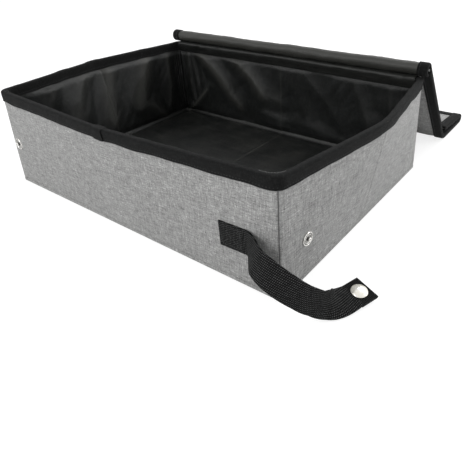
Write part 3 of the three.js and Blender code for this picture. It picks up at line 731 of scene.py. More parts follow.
# Folds: the wall, both ends as (along, height), how far it stands off, and its width
lining_folds = [
    ("back", (-0.160, 0.108), (-0.107, 0.061), 0.0060, 0.0075),
    ("back", (-0.107, 0.061), (-0.080, 0.034), 0.0052, 0.0080),
    ("back", (-0.084, 0.105), (-0.036, 0.064), 0.0052, 0.0080),
    ("back", (-0.036, 0.064), (-0.004, 0.052), 0.0030, 0.0090),
    ("back", (-0.196, 0.006), (-0.154, 0.045), 0.0036, 0.0045),
    ("back", (-0.154, 0.045), (-0.118, 0.060), 0.0016, 0.0060),
    ("back", (-0.186, 0.100), (-0.181, 0.030), 0.0036, 0.0030),
    ("back", (-0.174, 0.104), (-0.170, 0.046), 0.0030, 0.0032),
    ("back", (-0.160, 0.100), (-0.158, 0.060), 0.0022, 0.0034),
    ("back", (0.040, 0.102), (0.090, 0.048), 0.0022, 0.0070),
    ("back", (0.120, 0.100), (0.150, 0.030), 0.0026, 0.0065),
    ("back", (0.172, 0.104), (0.182, 0.030), 0.0030, 0.0040),
    ("back", (-0.02, 0.030), (0.080, 0.020), 0.0016, 0.0060),
    ("left", (0.074, 0.106), (0.050, 0.050), 0.0062, 0.0100),
    ("left", (0.050, 0.050), (0.092, 0.014), 0.0040, 0.0080),
    ("left", (0.122, 0.100), (0.114, 0.034), 0.0040, 0.0060),
    ("left", (0.008, 0.108), (-0.004, 0.040), 0.0058, 0.0085),
    ("left", (-0.030, 0.100), (-0.070, 0.046), 0.0040, 0.0110),
    ("left", (-0.084, 0.104), (-0.112, 0.060), 0.0034, 0.0080),
    ("right", (0.060, 0.106), (0.084, 0.040), 0.0028, 0.0070),
    ("right", (-0.030, 0.106), (-0.070, 0.036), 0.0028, 0.0070),
    ("right", (0.006, 0.108), (0.000, 0.020), 0.0022, 0.0040),
    ("front", (-0.120, 0.106), (-0.070, 0.040), 0.0028, 0.0070),
    ("front", (0.020, 0.106), (0.070, 0.030), 0.0028, 0.0070),
    ("front", (0.150, 0.106), (0.172, 0.024), 0.0024, 0.0050),
]


def fold_stand_off(wall, along, heights):
    """How far the folds of one wall lift the lining."""
    lift = 0 * along + 0 * heights
    for name, low, high, rise, width in lining_folds:
        if name != wall:
            continue
        (x0, z0), (x1, z1) = low, high
        length = math.hypot(x1 - x0, z1 - z0)
        ux, uz = (x1 - x0) / length, (z1 - z0) / length
        onward = (along - x0) * ux + (heights - z0) * uz
        aside = (along - x0) * uz - (heights - z0) * ux
        aside = aside + 0.0015 * np.sin(onward / length * 5 + x0 * 90)
        beyond = np.maximum(np.maximum(-onward, onward - length), 0)
        fade = bell(beyond, 0.35 * length)
        crest = 0.55 * bell(aside, 2.1 * width) + 0.45 * np.exp(
            -np.sqrt(aside**2 + 0.0012**2) / (0.9 * width)
        )
        lift = np.maximum(lift, rise * fade * crest)
    return lift


def fold_lift(strip, on_end, along_it, heights):
    """How far the folds lift the lining on a strip, which may cover parts of two walls."""
    side_x, side_y = wall_strips[strip][1]
    return np.where(
        on_end, fold_stand_off("right" if side_x > 0 else "left", along_it, heights),
        fold_stand_off("back" if side_y > 0 else "front", along_it, heights),
    )


def lining_place(strip):
    side_y = wall_strips[strip][1][1]

    def place(runs, heights):
        on_end, along_it, along = along_wall(strip, runs)
        lift = fold_lift(strip, on_end, along_it, heights)
        along = along + 0 * heights
        above_foot = heights - wall_foot
        slack = lining_slack * (0.45 + uneven(along + 0.5 * heights, heights * 0.6, 0.055, 11))
        creases = uneven(along - 0.5 * heights, heights * 0.55, 0.018, 23)
        creases = lining_crease * np.abs(creases) * 2
        pleats = np.sin(runs / 0.0042 * math.pi) ** 2 * bell(np.abs(runs) - 0.012, 0.012)
        pleats = lining_pleat * pleats * (0.6 + uneven(along, heights, 0.03, 31)) if side_y else 0
        loose = np.clip((0.1075 - heights) / 0.008, 0, 1) * np.clip(above_foot / 0.012, 0, 1)
        loose = loose * loose * (3 - 2 * loose)
        foot = 0.0045 * np.clip(1 - above_foot / 0.0045, 0, 1) ** 2
        foot = foot + 0.0006 * bell(above_foot - 0.0026, 0.0009)
        stand_off = np.minimum((lift + slack + creases + pleats) * loose, lining_reach) + foot
        seam = 0.0007 * bell(runs, 0.0008) if side_y else 0.0006 * bell(runs, 0.0012)
        depths = lining_depth + np.maximum(stand_off - seam * loose, 0)
        return strip_points(strip, runs, heights, depths, 0.008)

    return place


def lining_lines_and_sheen(strip):
    """Paler along the sewn foot, the creases and the corner's pleat, and painted sheen on the
    folds' crests.
    """
    side_y = wall_strips[strip][1][1]

    def mask(runs, heights):
        on_end, along_it, _ = along_wall(strip, runs)
        lift = fold_lift(strip, on_end, along_it, heights)
        lines = 0.25 * bell(heights - wall_foot - 0.0024, 0.0009) + 0 * runs
        from_crease = runs if side_y == 0 else runs + half_length
        lines = lines + 0.25 * bell(from_crease, 0.0012)
        pleat = np.abs((along_it + 0.196) - (heights - 0.006) * 42 / 39) * 0.68
        on_pleat = (strip == "back_left") * (1 - on_end) * (heights < 0.05)
        # Painted sheen: the folds' crests are painted paler, where they catch the light
        crest_sheen = 0.52 * np.clip((lift - 0.0014) / 0.0036, 0, 1) ** 1.5
        return np.clip(lines + crest_sheen + 0.7 * on_pleat * bell(pleat, 0.0011), 0, 1)

    return mask


lining_heights = evenly(wall_foot, wall_foot + 0.005, 0.0006)
lining_heights += evenly(wall_foot + 0.0065, lining_top, 0.0019)
for strip in wall_strips:
    runs = strip_runs(strip, 0.002, 0.0008)
    piece = cloth_grid(
        f"wall_lining_{strip}", runs, lining_heights, lining_place(strip), lining_cloth,
        flip=not facing_out(strip), masks={"wear_and_sheen": lining_lines_and_sheen(strip)},
    )
    thicken(piece, lining_cloth_thickness)
    fasten(piece, strip, "lining", flat=(runs[-1] - runs[0], lining_top - wall_foot))


# The rim's binding: a black woven tape folded over the top edge of the walls and stitched
# through along its lower edge, with one row of stitches showing on each side.

tape_reach, tape_thickness, tape_hem = 0.0012, 0.0009, 0.106
tape_inner = 0.0058
tape_puff, stitch_dimple, tape_seam = 0.00035, 0.0003, 0.0004
tape_wave, tape_bulge = 0.0022, 0.0012
front_dip, front_dip_run = 0.0013, 0.0195

binding_tape, nodes, links, shader = new_material(
    "black_binding_tape", 0.85, sheen=0.02, specular=0.1,
)
cloth_uv = nodes.new("ShaderNodeUVMap").outputs["UV"]
yarns = streaks_on(nodes, cloth_uv, per_metre=1500.0, length=5.0, unevenness=0.55)
ribs = placed_group(nodes, weave, {"Cloth": cloth_uv, "Threads per metre": 1600.0})
links.new(ramp(nodes, links, yarns.outputs["Streaks"], [
    (0.36, (0.005, 0.0052, 0.0052)),
    (0.52, (0.0095, 0.0098, 0.0098)),
    (0.68, (0.022, 0.0225, 0.0225)),
]), shader.inputs["Base Color"])
tape_height = math_node(
    nodes, links, "MULTIPLY_ADD", ribs.outputs["Height"], 0.8, yarns.outputs["Height"],
)
bump(nodes, links, shader, tape_height, 0.00035)


def sewing_thread(name, roughness, sheen, specular, dark, pale):
    """A twisted thread's material, between a dark and a pale colour."""
    thread, nodes, links, shader = new_material(name, roughness, sheen=sheen, specular=specular)
    thread_place = nodes.new("ShaderNodeTexCoord").outputs["Object"]
    twist = streaks_on(nodes, thread_place, per_metre=2400.0, length=3.0, unevenness=0.6)
    colour = ramp(nodes, links, twist.outputs["Streaks"], [(0.38, dark), (0.62, pale)])
    links.new(colour, shader.inputs["Base Color"])
    bump(nodes, links, shader, twist.outputs["Height"], 0.0001)
    return thread


stitch_thread = sewing_thread(
    "black_thread", 0.55, sheen=0.05, specular=0.4,
    dark=(0.010, 0.010, 0.010), pale=(0.030, 0.030, 0.031),
)


def lengths_along(spots):
    """The length of a line of points from its start to each of them."""
    return np.concatenate([[0], np.cumsum(np.linalg.norm(np.diff(spots, axis=0), axis=1))])


def unit(ways):
    """Directions brought to a length of 1 each."""
    return ways / np.linalg.norm(ways, axis=-1)[..., None]


def along_line(spots, facing, pitch=0.003):
    """Stitches along a line of points: the middle of each, half its length, and its way out."""
    spots, facing = np.asarray(spots), np.asarray(facing)
    lengths = lengths_along(spots)
    stitches = []
    for start in np.arange(pitch * 0.6, lengths[-1] - pitch * 0.4, pitch):
        ends = [
            np.array([np.interp(start + shift, lengths, spots[:, i]) for i in range(3)])
            for shift in (-0.4 * pitch, 0.4 * pitch)
        ]
        out = unit(np.array([np.interp(start, lengths, facing[:, i]) for i in range(3)]))
        stitches.append(((ends[0] + ends[1]) / 2, (ends[1] - ends[0]) / 2, out))
    return stitches


def sew(name, stitches, radius=0.00024, material=stitch_thread):
    """One mesh of stitches. Each is a short thread, raised in its middle and sunk at its ends."""
    bpy.ops.object.select_all(action="DESELECT")
    bpy.ops.mesh.primitive_uv_sphere_add(segments=6, ring_count=5, radius=1)
    seam = bpy.context.object
    seam.name = seam.data.name = name
    pattern = np.array([v.co for v in seam.data.vertices])
    pattern_faces = np.array([list(face.vertices) for face in seam.data.polygons], dtype=object)
    verts, faces = [], []
    for middle, half, out in stitches:
        aside = np.cross(unit(half), out)
        lift = pattern[:, :1] * radius + radius * (0.35 - 0.9 * pattern[:, 2:] ** 2)
        faces += [[i + len(verts) for i in face] for face in pattern_faces]
        sideways = aside * pattern[:, 1:2] * radius
        verts += list(middle + half * pattern[:, 2:] + out * lift + sideways)
    seam.data.clear_geometry()
    seam.data.from_pydata(verts, [], faces)
    seam.data.materials.clear()
    seam.data.materials.append(material)
    select_only(seam)
    bpy.ops.object.shade_smooth()
    return seam


def tape_section(grown=0.0, top_radius=0.0026, steps=5):
    """The folded tape's outside, as (depth, height) from its outer hem over to its inner hem,
    grown outwards where a second tape lies over it."""
    outer, inner, top = -tape_reach - grown, tape_inner + grown, rim_height + grown / 6
    section = [(outer, z) for z in evenly(tape_hem, top - top_radius, 0.0016)]
    for centre, first in ((outer + top_radius, math.pi), (inner - top_radius, math.pi / 2)):
        for step in range(1, steps + 1):
            angle = first - step * math.pi / 2 / steps
            section.append((
                centre + top_radius * math.cos(angle),
                top - top_radius + top_radius * math.sin(angle),
            ))
        if first == math.pi:
            section.append((inner - top_radius, top))
    section += [(inner, z) for z in evenly(top - top_radius, tape_hem, 0.0016)[1:]]
    section = np.array(section)
    return section, lengths_along(section)


tape_outline, tape_widths = tape_section()
tape_stitch_height = tape_hem + 0.0022
tape_rounding = 0.0105
# The tape's top can't sink further than this, where it comes to lie on the boards
tape_slack = 0.00055


def tape_place(strip, outline=tape_outline, outline_widths=tape_widths):
    """The tape puffs out between its stitches, waves along its hem and dips on its top."""
    side_y = wall_strips[strip][1][1]

    def place(runs, widths):
        depths = np.interp(widths, outline_widths, outline[:, 0])
        heights = np.interp(widths, outline_widths, outline[:, 1])
        outside = np.where(depths < (tape_inner - tape_reach) / 2, -1, 1)
        on_end, along_it, own = along_wall(strip, runs)
        away = 1 - bell(runs, 0.012) if side_y else 1
        puff = tape_puff * (0.4 + away * uneven(own, heights, 0.016, 41))
        dimple = stitch_dimple * bell(heights - tape_stitch_height, 0.0009)
        seam = tape_seam * bell(runs, 0.001) if side_y else 0
        depths = depths + outside * (np.clip(puff, 0, 1) - dimple - seam)
        on_back = (runs < 0) * (side_y > 0)
        wave = uneven(own, 0 * widths, 0.026, 43)
        rise = np.clip((heights - tape_hem) / 0.010, 0, 1)
        hem_wave = tape_wave * uneven(own, 3 + 0 * widths, 0.03, 47)
        drop = tape_wave * np.clip(0.28 - wave, 0, 1) * (1 - on_back)
        if side_y < 0:
            drop = drop + front_dip * bell(along_it - front_dip_run, 0.013) * (1 - on_end)
        drop = tape_slack * np.tanh(drop / tape_slack)
        heights = heights + away * (hem_wave * (1 - rise) - drop * rise)
        depths = depths - away * tape_bulge * np.clip(wave, 0, 1)
        return strip_points(strip, runs, heights, depths, tape_rounding, 0.013)

    return place


for strip in wall_strips:
    runs = strip_runs(strip, 0.003, 0.0012)
    place = tape_place(strip)
    piece = cloth_grid(
        f"rim_tape_{strip}", runs, tape_widths, place, binding_tape, flip=facing_out(strip),
    )
    thicken(piece, tape_thickness)
    fasten(piece, strip, "binding")
    from_hem = tape_stitch_height - tape_hem
    for side, width in (("outside", from_hem), ("inside", tape_widths[-1] - from_hem)):
        line = np.linspace(runs[0], runs[-1], 240)
        spots = place(line[None, :], np.array([[width]]))[0]
        above = place(line[None, :], np.array([[width + 0.001]]))[0]
        onward = np.gradient(spots, axis=0)
        out = unit(np.cross(onward, above - spots) * (-1 if facing_out(strip) else 1))
        stitches = sew(f"rim_stitches_{side}_{strip}", along_line(spots, out))
        fasten(stitches, strip, None)


# The tape's ends are joined in the middle of the front wall, one folded over the other
join_outline, join_widths = tape_section(grown=0.0011)
tape_join = cloth_grid(
    "rim_tape_join", evenly(-0.2075, -0.1935, 0.001), join_widths,
    tape_place("front_left", join_outline, join_widths), binding_tape,
    flip=facing_out("front_left"),
)
thicken(tape_join, tape_thickness)
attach(tape_join, "front_wall")

# At the near corner, short stitches lie over the rim's inner edge
grey_thread = sewing_thread(
    "grey_overlock_thread", 0.6, sheen=0.1, specular=0.3,
    dark=(0.11, 0.113, 0.110), pale=(0.24, 0.244, 0.238),
)
near_place = tape_place("front_right")
rim_middle = tape_widths[-1] / 2
stitch_start, stitch_middle, stitch_end = (rim_middle + reach for reach in (0.0003, 0.0019, 0.0035))
stitch_pitch, stitch_sink = 0.00135, 0.00034
over_rim = []
for run in np.arange(-0.016, 0.0095, stitch_pitch):
    ends = near_place(np.array([[run]]), np.array([[stitch_start], [stitch_end]]))[:, 0]
    middle, beside = near_place(np.array([[run, run + 0.001]]), np.array([[stitch_middle]]))[0]
    half = (ends[1] - ends[0]) / 2
    out = np.cross(half, beside - middle)
    out = unit(-out if out[2] < 0 else out)
    over_rim.append((middle - out * stitch_sink, half, out))
corner_stitches = sew("rim_corner_stitches", over_rim, radius=0.0003, material=grey_thread)
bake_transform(corner_stitches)


# The snaps: nickel plated rings and studs through the cloth, board and lining. The right one parks
# the strap, and the left one holds the folded box shut. They are painted dark where they are deep,
# as painted shade.

nickel, nodes, links, shader = new_material("nickel_plate", 0.25, metallic=1.0)
metal_place = nodes.new("ShaderNodeTexCoord").outputs["Object"]
brushing = streaks_on(nodes, metal_place, per_metre=1100.0, length=2.0, unevenness=0.7)
plating = ramp(nodes, links, brushing.outputs["Streaks"], [
    (0.35, (0.60, 0.59, 0.56)),
    (0.65, (0.82, 0.81, 0.78)),
])
# Painted shade: the plating goes near black where a point lies deep in a hollow
shaded_plating = masked_colour(nodes, links, "recess_shade", plating, (0.035, 0.035, 0.034))
links.new(shaded_plating, shader.inputs["Base Color"])
links.new(math_node(
    nodes, links, "MULTIPLY_ADD", brushing.outputs["Streaks"], 0.22, 0.13,
), shader.inputs["Roughness"])
bump(nodes, links, shader, brushing.outputs["Height"], 0.00003)
for node_name, node_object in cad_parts.items():
    if "snap" in node_name:
        node_object.data.materials.clear()
        node_object.data.materials.append(nickel)


def turned_piece(name, outline, centre, out, material):
    """A pressed metal piece, turned from an outline of (radius, height, share of painted shade)
    with the lengths in millimetres. The share is how deep in a hollow a point lies, and paints the
    plating darker there as painted shade."""
    bpy.ops.object.select_all(action="DESELECT")
    bpy.ops.mesh.primitive_circle_add(vertices=len(outline), radius=1)
    piece = bpy.context.object
    piece.name = piece.data.name = name
    centre, axis = Vector(centre), Vector(out).normalized()
    aside = axis.orthogonal().normalized()
    deep = piece.data.attributes.new("recess_shade", "FLOAT", "POINT")
    for vert, (radius, height, dark) in zip(piece.data.vertices, outline):
        vert.co = centre + aside * radius / 1000 + axis * height / 1000
        deep.data[vert.index].value = dark
    bpy.ops.object.mode_set(mode="EDIT")
    bpy.ops.mesh.select_all(action="SELECT")
    bpy.ops.mesh.spin(steps=56, angle=2 * math.pi, center=centre, axis=axis)
    bpy.ops.mesh.select_all(action="SELECT")
    bpy.ops.mesh.remove_doubles(threshold=0.000004)
    bpy.ops.mesh.normals_make_consistent(inside=False)
    bpy.ops.object.mode_set(mode="OBJECT")
    select_only(piece)
    bpy.ops.object.transform_apply(location=True, rotation=True, scale=True)
    piece.data.materials.clear()
    piece.data.materials.append(material)
    box_uv(piece)
    smooth(piece)
    return piece


def facing_of_wall(strip, run, height):
    """The way out of a wall's cloth at a place on it."""
    step, rounding = 0.002, 0.006
    here, onward, above = (
        strip_points(
            strip, np.array([[run + a]]), np.array([[height + b]]), np.zeros((1, 1)), rounding,
        )[0, 0]
        for a, b in ((0, 0), (step, 0), (0, step))
    )
    return unit(np.cross(onward - here, above - here) * (-1 if facing_out(strip) else 1))


# Their outlines in millimetres, from the ring's inside over its two beads, and from the stud's
# tip down to the shank
# The third number of each is the share of painted shade on the plating there
ring_outline = [
    (4.0, 0.3, 1), (4.0, 0.9, 0.6), (4.2, 1.2, 0), (4.5, 1.25, 0), (4.8, 1.0, 0.7), (5.25, 0.8, 1),
    (5.7, 1.0, 0.7), (5.95, 1.35, 0), (6.35, 1.5, 0), (6.7, 1.3, 0), (6.9, 0.8, 0), (6.9, 0.3, 0.3),
]
stud_outline = [
    (0, 3.1, 0.9), (0.55, 3.15, 0.7), (0.8, 3.55, 0), (1.2, 3.7, 0), (1.75, 3.5, 0), (2.1, 2.95, 0),
    (2.05, 2.5, 0.3), (1.65, 2.1, 0.8), (1.6, 1.4, 1), (2.0, 0.95, 0.9), (2.9, 0.8, 0.7),
    (3.3, 0.98, 0.3), (3.55, 0.85, 0.5), (3.6, 0.5, 1), (3.6, 0.3, 1), (1.5, 0.3, 1),
    (1.5, -3.3, 1), (0, -3.3, 1),
]
snap_sink = 0.0009
for prefix, strip, run, height, body in (
    ("right", "front_right", 0.039, 0.044, "right_end_front"),
    ("left", "front_left", -0.015, 0.054, "front_wall"),
):
    out = facing_of_wall(strip, run, height)
    lowest, highest = (np.array(corner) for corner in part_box(f"{prefix}_snap_ring"))
    centre = (lowest + highest) / 2 - out * snap_sink
    for part, outline in (("ring", ring_outline), ("stud", stud_outline)):
        piece = turned_piece(f"{prefix}_pressed_{part}", outline, centre, out, nickel)
        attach(piece, body)
        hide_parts(f"{prefix}_snap_{part}")


# The strap: a black webbing sewn flat to the front wall, then standing off it and curling past
# the corner. Its end is doubled back and sewn, and it carries the cap of the snap.

strap_width, strap_thickness, strap_length = 0.025, 0.0014, 0.157
strap_hem, strap_height = 0.017, 0.0495
strap_pivot = np.array([0.1639, -0.15065, strap_height])
strap_stations = np.array([
    (0, 0, 0), (0.025, -0.003, 0.001), (0.083, -0.045, 0.004), (0.16, -0.11, 0.006),
    (0.254, -0.134, -0.015), (0.346, -0.124, -0.057), (0.418, -0.085, -0.113),
    (0.463, -0.023, -0.174), (0.492, 0.056, -0.229), (0.515, 0.144, -0.268),
    (0.543, 0.235, -0.275), (0.575, 0.327, -0.259),
]) * strap_length + strap_pivot
strap_leans = np.radians([0, 0, 12, 22, 27, 19, 3, -5, 14, 62, 84, 74])

webbing, nodes, links, shader = new_material("twill_webbing", 0.7, specular=0.08)
cloth_uv = nodes.new("ShaderNodeUVMap").outputs["UV"]
split = nodes.new("ShaderNodeSeparateXYZ")
links.new(cloth_uv, split.inputs["Vector"])
yarn_waves = []
for sign, pitch in ((1, 0.0034), (-1, 0.0026)):
    slanted = math_node(
        nodes, links, "MULTIPLY_ADD", split.outputs["Y"], sign * 0.8, split.outputs["X"],
    )
    turned = math_node(nodes, links, "MULTIPLY", slanted, 2 * math.pi / pitch)
    yarn_waves.append(math_node(nodes, links, "SINE", turned))
yarns = streaks_on(nodes, cloth_uv, per_metre=1300.0, length=3.0, unevenness=0.75)
crossed = math_node(nodes, links, "MULTIPLY", yarn_waves[0], yarn_waves[1])
twill = math_node(nodes, links, "MULTIPLY_ADD", crossed, 0.5, 0.5)
# Painted glints: pale specks on the twill stand in for highlights on glossy yarns
painted_glint = math_node(nodes, links, "MULTIPLY", twill, yarns.outputs["Height"])
twill_colour = ramp(nodes, links, painted_glint, [
    (0.14, (0.0035, 0.0037, 0.0037)),
    (0.36, (0.0080, 0.0083, 0.0083)),
    (0.50, (0.105, 0.107, 0.107)),
])
plain_twill = masked_colour(nodes, links, "plain", twill_colour, (0.0075, 0.0078, 0.0078))
links.new(plain_twill, shader.inputs["Base Color"])
webbing_height = math_node(nodes, links, "MULTIPLY_ADD", twill, 1.5, yarns.outputs["Height"])
bump(nodes, links, shader, webbing_height, 0.0005)


def spline_through(stations, leans, per_span=40):
    """A smooth curve through the stations, as the CAD model draws it, with its leans."""
    padded = np.vstack([2 * stations[0] - stations[1], stations, 2 * stations[-1] - stations[-2]])
    points, tips = [], []
    for span in range(len(stations) - 1):
        p0, p1, p2, p3 = padded[span:span + 4]
        d0, d1, d2 = (np.linalg.norm(b - a) ** 0.5 for a, b in ((p0, p1), (p1, p2), (p2, p3)))
        into = ((p1 - p0) / d0 - (p2 - p0) / (d0 + d1) + (p2 - p1) / d1) * d1
        out = ((p2 - p1) / d1 - (p3 - p1) / (d1 + d2) + (p3 - p2) / d2) * d1
        for step in range(per_span + (span == len(stations) - 2)):
            t = step / per_span
            points.append(
                p1 + into * t + (-3 * p1 + 3 * p2 - 2 * into - out) * t**2
                + (2 * p1 - 2 * p2 + into + out) * t**3
            )
            tips.append(leans[span] + (leans[span + 1] - leans[span]) * t)
    return np.array(points), np.array(tips)


tail_points, tail_leans = spline_through(strap_stations, strap_leans)
tail_lengths = lengths_along(tail_points)
tail_length = tail_lengths[-1]
tail_onward = unit(np.gradient(tail_points, tail_lengths, axis=0))
tail_sideways = unit(np.cross((0, 0, 1), tail_onward))
tail_rising = np.cross(tail_onward, tail_sideways)
tail_across = tail_rising * np.cos(tail_leans)[:, None]
tail_across += tail_sideways * np.sin(tail_leans)[:, None]
hem_start = tail_length - strap_hem


def tail_frame(along):
    """Centre, direction onwards and direction across the strap, at lengths along its tail."""
    inside = np.clip(along, 0, hem_start)
    centre, onward, across = (
        np.stack([np.interp(inside, tail_lengths, table[:, i]) for i in range(3)], axis=-1)
        for table in (tail_points, tail_onward, tail_across)
    )
    onward = unit(onward)
    across = unit(across - onward * np.sum(across * onward, axis=-1)[..., None])
    return centre + onward * (along - inside)[..., None], onward, across


# The strap's run: 0 at the sewn end, then the patch, the seam, the tail, and the end turned
# round and back behind itself. The two layers there lie clear of each other
patch_start_x, patch_run, patch_lift = 0.138, 0.0259, 0.001
layer_clearance = 0.00008
turn_radius = strap_thickness / 2 + layer_clearance
turn_length = math.pi * turn_radius
strap_end = patch_run + tail_length + turn_length + strap_hem


def strap_place(runs, widths):
    runs = np.asarray(runs)
    back = np.maximum(runs - patch_run - tail_length, 0)
    turn = np.clip(back / turn_length, 0, 1) * math.pi
    along = np.minimum(runs - patch_run, tail_length) - np.maximum(back - turn_length, 0)
    centre, onward, across = tail_frame(along)
    facing = np.cross(onward, across)
    patch_rounding = 0.0015
    on_wall = corner_points(
        1, -1, patch_start_x + np.minimum(runs, patch_run) - half_length,
        strap_height + widths, -patch_lift + 0 * widths, patch_rounding,
    )
    off_wall = centre + across * widths[..., None]
    off_wall = off_wall - facing * (1 - np.cos(turn))[..., None] * turn_radius
    off_wall = off_wall + onward * np.sin(turn)[..., None] * turn_radius
    join = np.clip((runs - patch_run) / 0.002, 0, 1)[..., None]
    return on_wall * (1 - join) + off_wall * join


strap_runs = evenly(0, patch_run, 0.0016)
strap_runs += evenly(patch_run + 0.0008, patch_run + tail_length, 0.0012)
strap_runs += [patch_run + tail_length + turn_length * k for k in (0.2, 0.4, 0.6, 0.8, 1)]
strap_runs += evenly(patch_run + tail_length + turn_length + 0.001, strap_end, 0.0013)
strap_widths = [-strap_width / 2, -0.0121]
strap_widths += evenly(-0.0110, 0.0110, 0.0012) + [0.0121, strap_width / 2]


def doubled_end(runs, widths):
    """The doubled end is seared and pressed, and has none of the painted glints."""
    return 0.9 * np.clip((runs - patch_run - tail_length + strap_hem) / 0.001, 0, 1) + 0 * widths


strap = cloth_grid(
    "strap_webbing", strap_runs, strap_widths, strap_place, webbing, masks={"plain": doubled_end},
)
thicken(strap, strap_thickness, offset=0)
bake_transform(strap)
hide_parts("strap_patch", "strap_tail")


def on_strap(run, width):
    """A place on the strap's face, and its way out."""
    step = 0.0005
    here, onward, aside = (
        strap_place(np.array([[run + a]]), np.array([[width + b]]))[0, 0]
        for a, b in ((0, 0), (step, 0), (0, step))
    )
    out = unit(np.cross(onward - here, aside - here))
    return here + out * strap_thickness / 2, out


# The sewn end is held by a box of stitches with a cross in it, and the hem by a row
patch_corners = [(0.0025, -0.0095), (0.0225, -0.0095), (0.0225, 0.0095), (0.0025, 0.0095)]
hem_row = patch_run + tail_length - strap_hem + 0.0012
for body, lines in (
    ("front_wall", [patch_corners + [patch_corners[k] for k in (0, 2, 1, 3)]]),
    ("strap", [[(hem_row, -0.0107), (hem_row, -0.0045)], [(hem_row, 0.0045), (hem_row, 0.0107)]]),
):
    stitches = []
    for corners in lines:
        for first, last in zip(corners, corners[1:]):
            shares = np.linspace(0, 1, 14)[:, None]
            places = np.array(first) * (1 - shares) + np.array(last) * shares
            spots, ways_out = zip(*(on_strap(*place) for place in places))
            stitches += along_line(spots, ways_out, pitch=0.0024)
    seam = sew(f"strap_stitches_{body}", stitches, radius=0.00026)
    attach(seam, body)

# The cap: a pressed dome with a pale pearly plating over the webbing
pearl, nodes, links, shader = new_material("pearl_nickel_cap", 0.2, specular=0.6, metallic=0.55)
cap_spot = nodes.new("ShaderNodeTexCoord").outputs["Object"]
clouds = streaks_on(nodes, cap_spot, per_metre=190.0, length=1.6, unevenness=0.5)
links.new(ramp(nodes, links, clouds.outputs["Streaks"], [
    (0.35, (0.93, 0.90, 0.84)),
    (0.50, (0.86, 0.83, 0.74)),
    (0.65, (0.95, 0.94, 0.90)),
]), shader.inputs["Base Color"])
cap_roughness = math_node(nodes, links, "MULTIPLY_ADD", clouds.outputs["Streaks"], 0.2, 0.1)
links.new(cap_roughness, shader.inputs["Roughness"])
cap_outline = [
    (0, 3.58, 0), (1.5, 3.54, 0), (3.0, 3.36, 0), (4.5, 3.0, 0), (5.8, 2.5, 0), (6.7, 2.0, 0),
    (7.2, 1.65, 0), (7.5, 1.25, 0), (7.4, 0.95, 0), (6.6, 0.75, 0), (1.5, 0.75, 0),
    (1.5, -3.5, 0), (0, -3.5, 0),
]
cap_from_tip = 0.009
cap_centre, cap_onward, cap_across = (
    table[0, 0] for table in tail_frame(np.array([[tail_length - cap_from_tip]]))
)
cap = turned_piece("strap_cap", cap_outline, cap_centre, np.cross(cap_onward, cap_across), pearl)
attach(cap, "strap")
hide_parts("strap_snap_cap")


# The lid: three boarded panels in one cloth. The rear one turns on a soft roll of the lining
# over the back rim and hangs to the floor. The front one is folded back on the middle one.

lid_axis_y, lid_axis_z = 0.1477, 0.1255
hang_angle, front_angle = math.radians(49.4768), math.radians(176)
middle_fold_y, front_fold_y, fold_level = 0.2585094, 0.3335094, 0.0071
roll_radius, roll_fullness, flat_lining = 0.006, 0.0034, -0.0013
roll_end_angle = math.radians(317.48)
lid_stack, lid_stack_half, lid_half, lid_between = 0.0046, 0.2018, 0.203, 0.1907


def rear_spot(along, level):
    return (
        lid_axis_y + along * math.cos(hang_angle) + level * math.sin(hang_angle),
        lid_axis_z - along * math.sin(hang_angle) + level * math.cos(hang_angle),
    )


def middle_spot(along, level):
    return (middle_fold_y + along, fold_level + level)


def front_spot(along, level):
    return (
        front_fold_y + along * math.cos(front_angle) - level * math.sin(front_angle),
        fold_level + along * math.sin(front_angle) + level * math.cos(front_angle),
    )


def roll_spot(angle, radius):
    return rear_spot(radius * math.cos(angle), radius * math.sin(angle))


# Along the lid's edge: below 0 round the roll, then down the rear panel, round the bend on the
# floor, and along the middle panel. Levels are the rear panel's. The bend is a curve drawn
# towards the corner where the two panels would meet, and ends a little along the middle one
bend_start, bend_run, level_drop = 0.154, 0.0165, 0.0073
bend_corner, bend_end = 0.162, 0.008
lid_wrinkle, lid_slack, lid_cover_sag, front_sag = 0.0011, 0.0009, 0.0008, 0.0004
roll_run = roll_radius * (roll_end_angle - math.pi / 2)
lid_run = bend_start + bend_run + 0.06685


def lid_spot(along, level):
    if along < 0:
        return roll_spot(math.pi / 2 - along / roll_radius, level)
    if along < bend_start:
        return rear_spot(along, level)
    if along > bend_start + bend_run:
        return middle_spot(along - bend_start - bend_run + bend_end, level - level_drop)
    share = (along - bend_start) / bend_run
    corner = rear_spot(bend_corner + (level_drop - level) * math.tan(hang_angle / 2), level)
    first, last = rear_spot(bend_start, level), middle_spot(bend_end, level - level_drop)
    return tuple(
        (1 - share) ** 2 * a + 2 * share * (1 - share) * b + share**2 * c
        for a, b, c in zip(first, corner, last)
    )


def along_path(spots, sway):
    """The place function of cloth whose rises follow a line of (y, z) spots. sway gives how far
    it stands out from that line."""
    spots = np.array(spots)
    lengths = lengths_along(spots)
    onward = unit(np.gradient(spots, lengths, axis=0))

    def place(runs, rises):
        y, z, ahead_y, ahead_z = (
            np.interp(rises, lengths, column)
            for column in (spots[:, 0], spots[:, 1], onward[:, 0], onward[:, 1])
        )
        out = sway(runs, rises)
        return np.stack(np.broadcast_arrays(runs, y - ahead_z * out, z + ahead_y * out), axis=-1)

    return place, lengths[-1]


lid_lining_spots = [lid_spot(a, roll_radius) for a in evenly(-roll_run, 0, 0.0008)]
lid_lining_spots += [lid_spot(a, roll_radius) for a in evenly(0.003, lid_run, 0.002)]
lid_cover_spots = [lid_spot(a, roll_radius - lid_stack) for a in evenly(0.0003, lid_run, 0.002)]


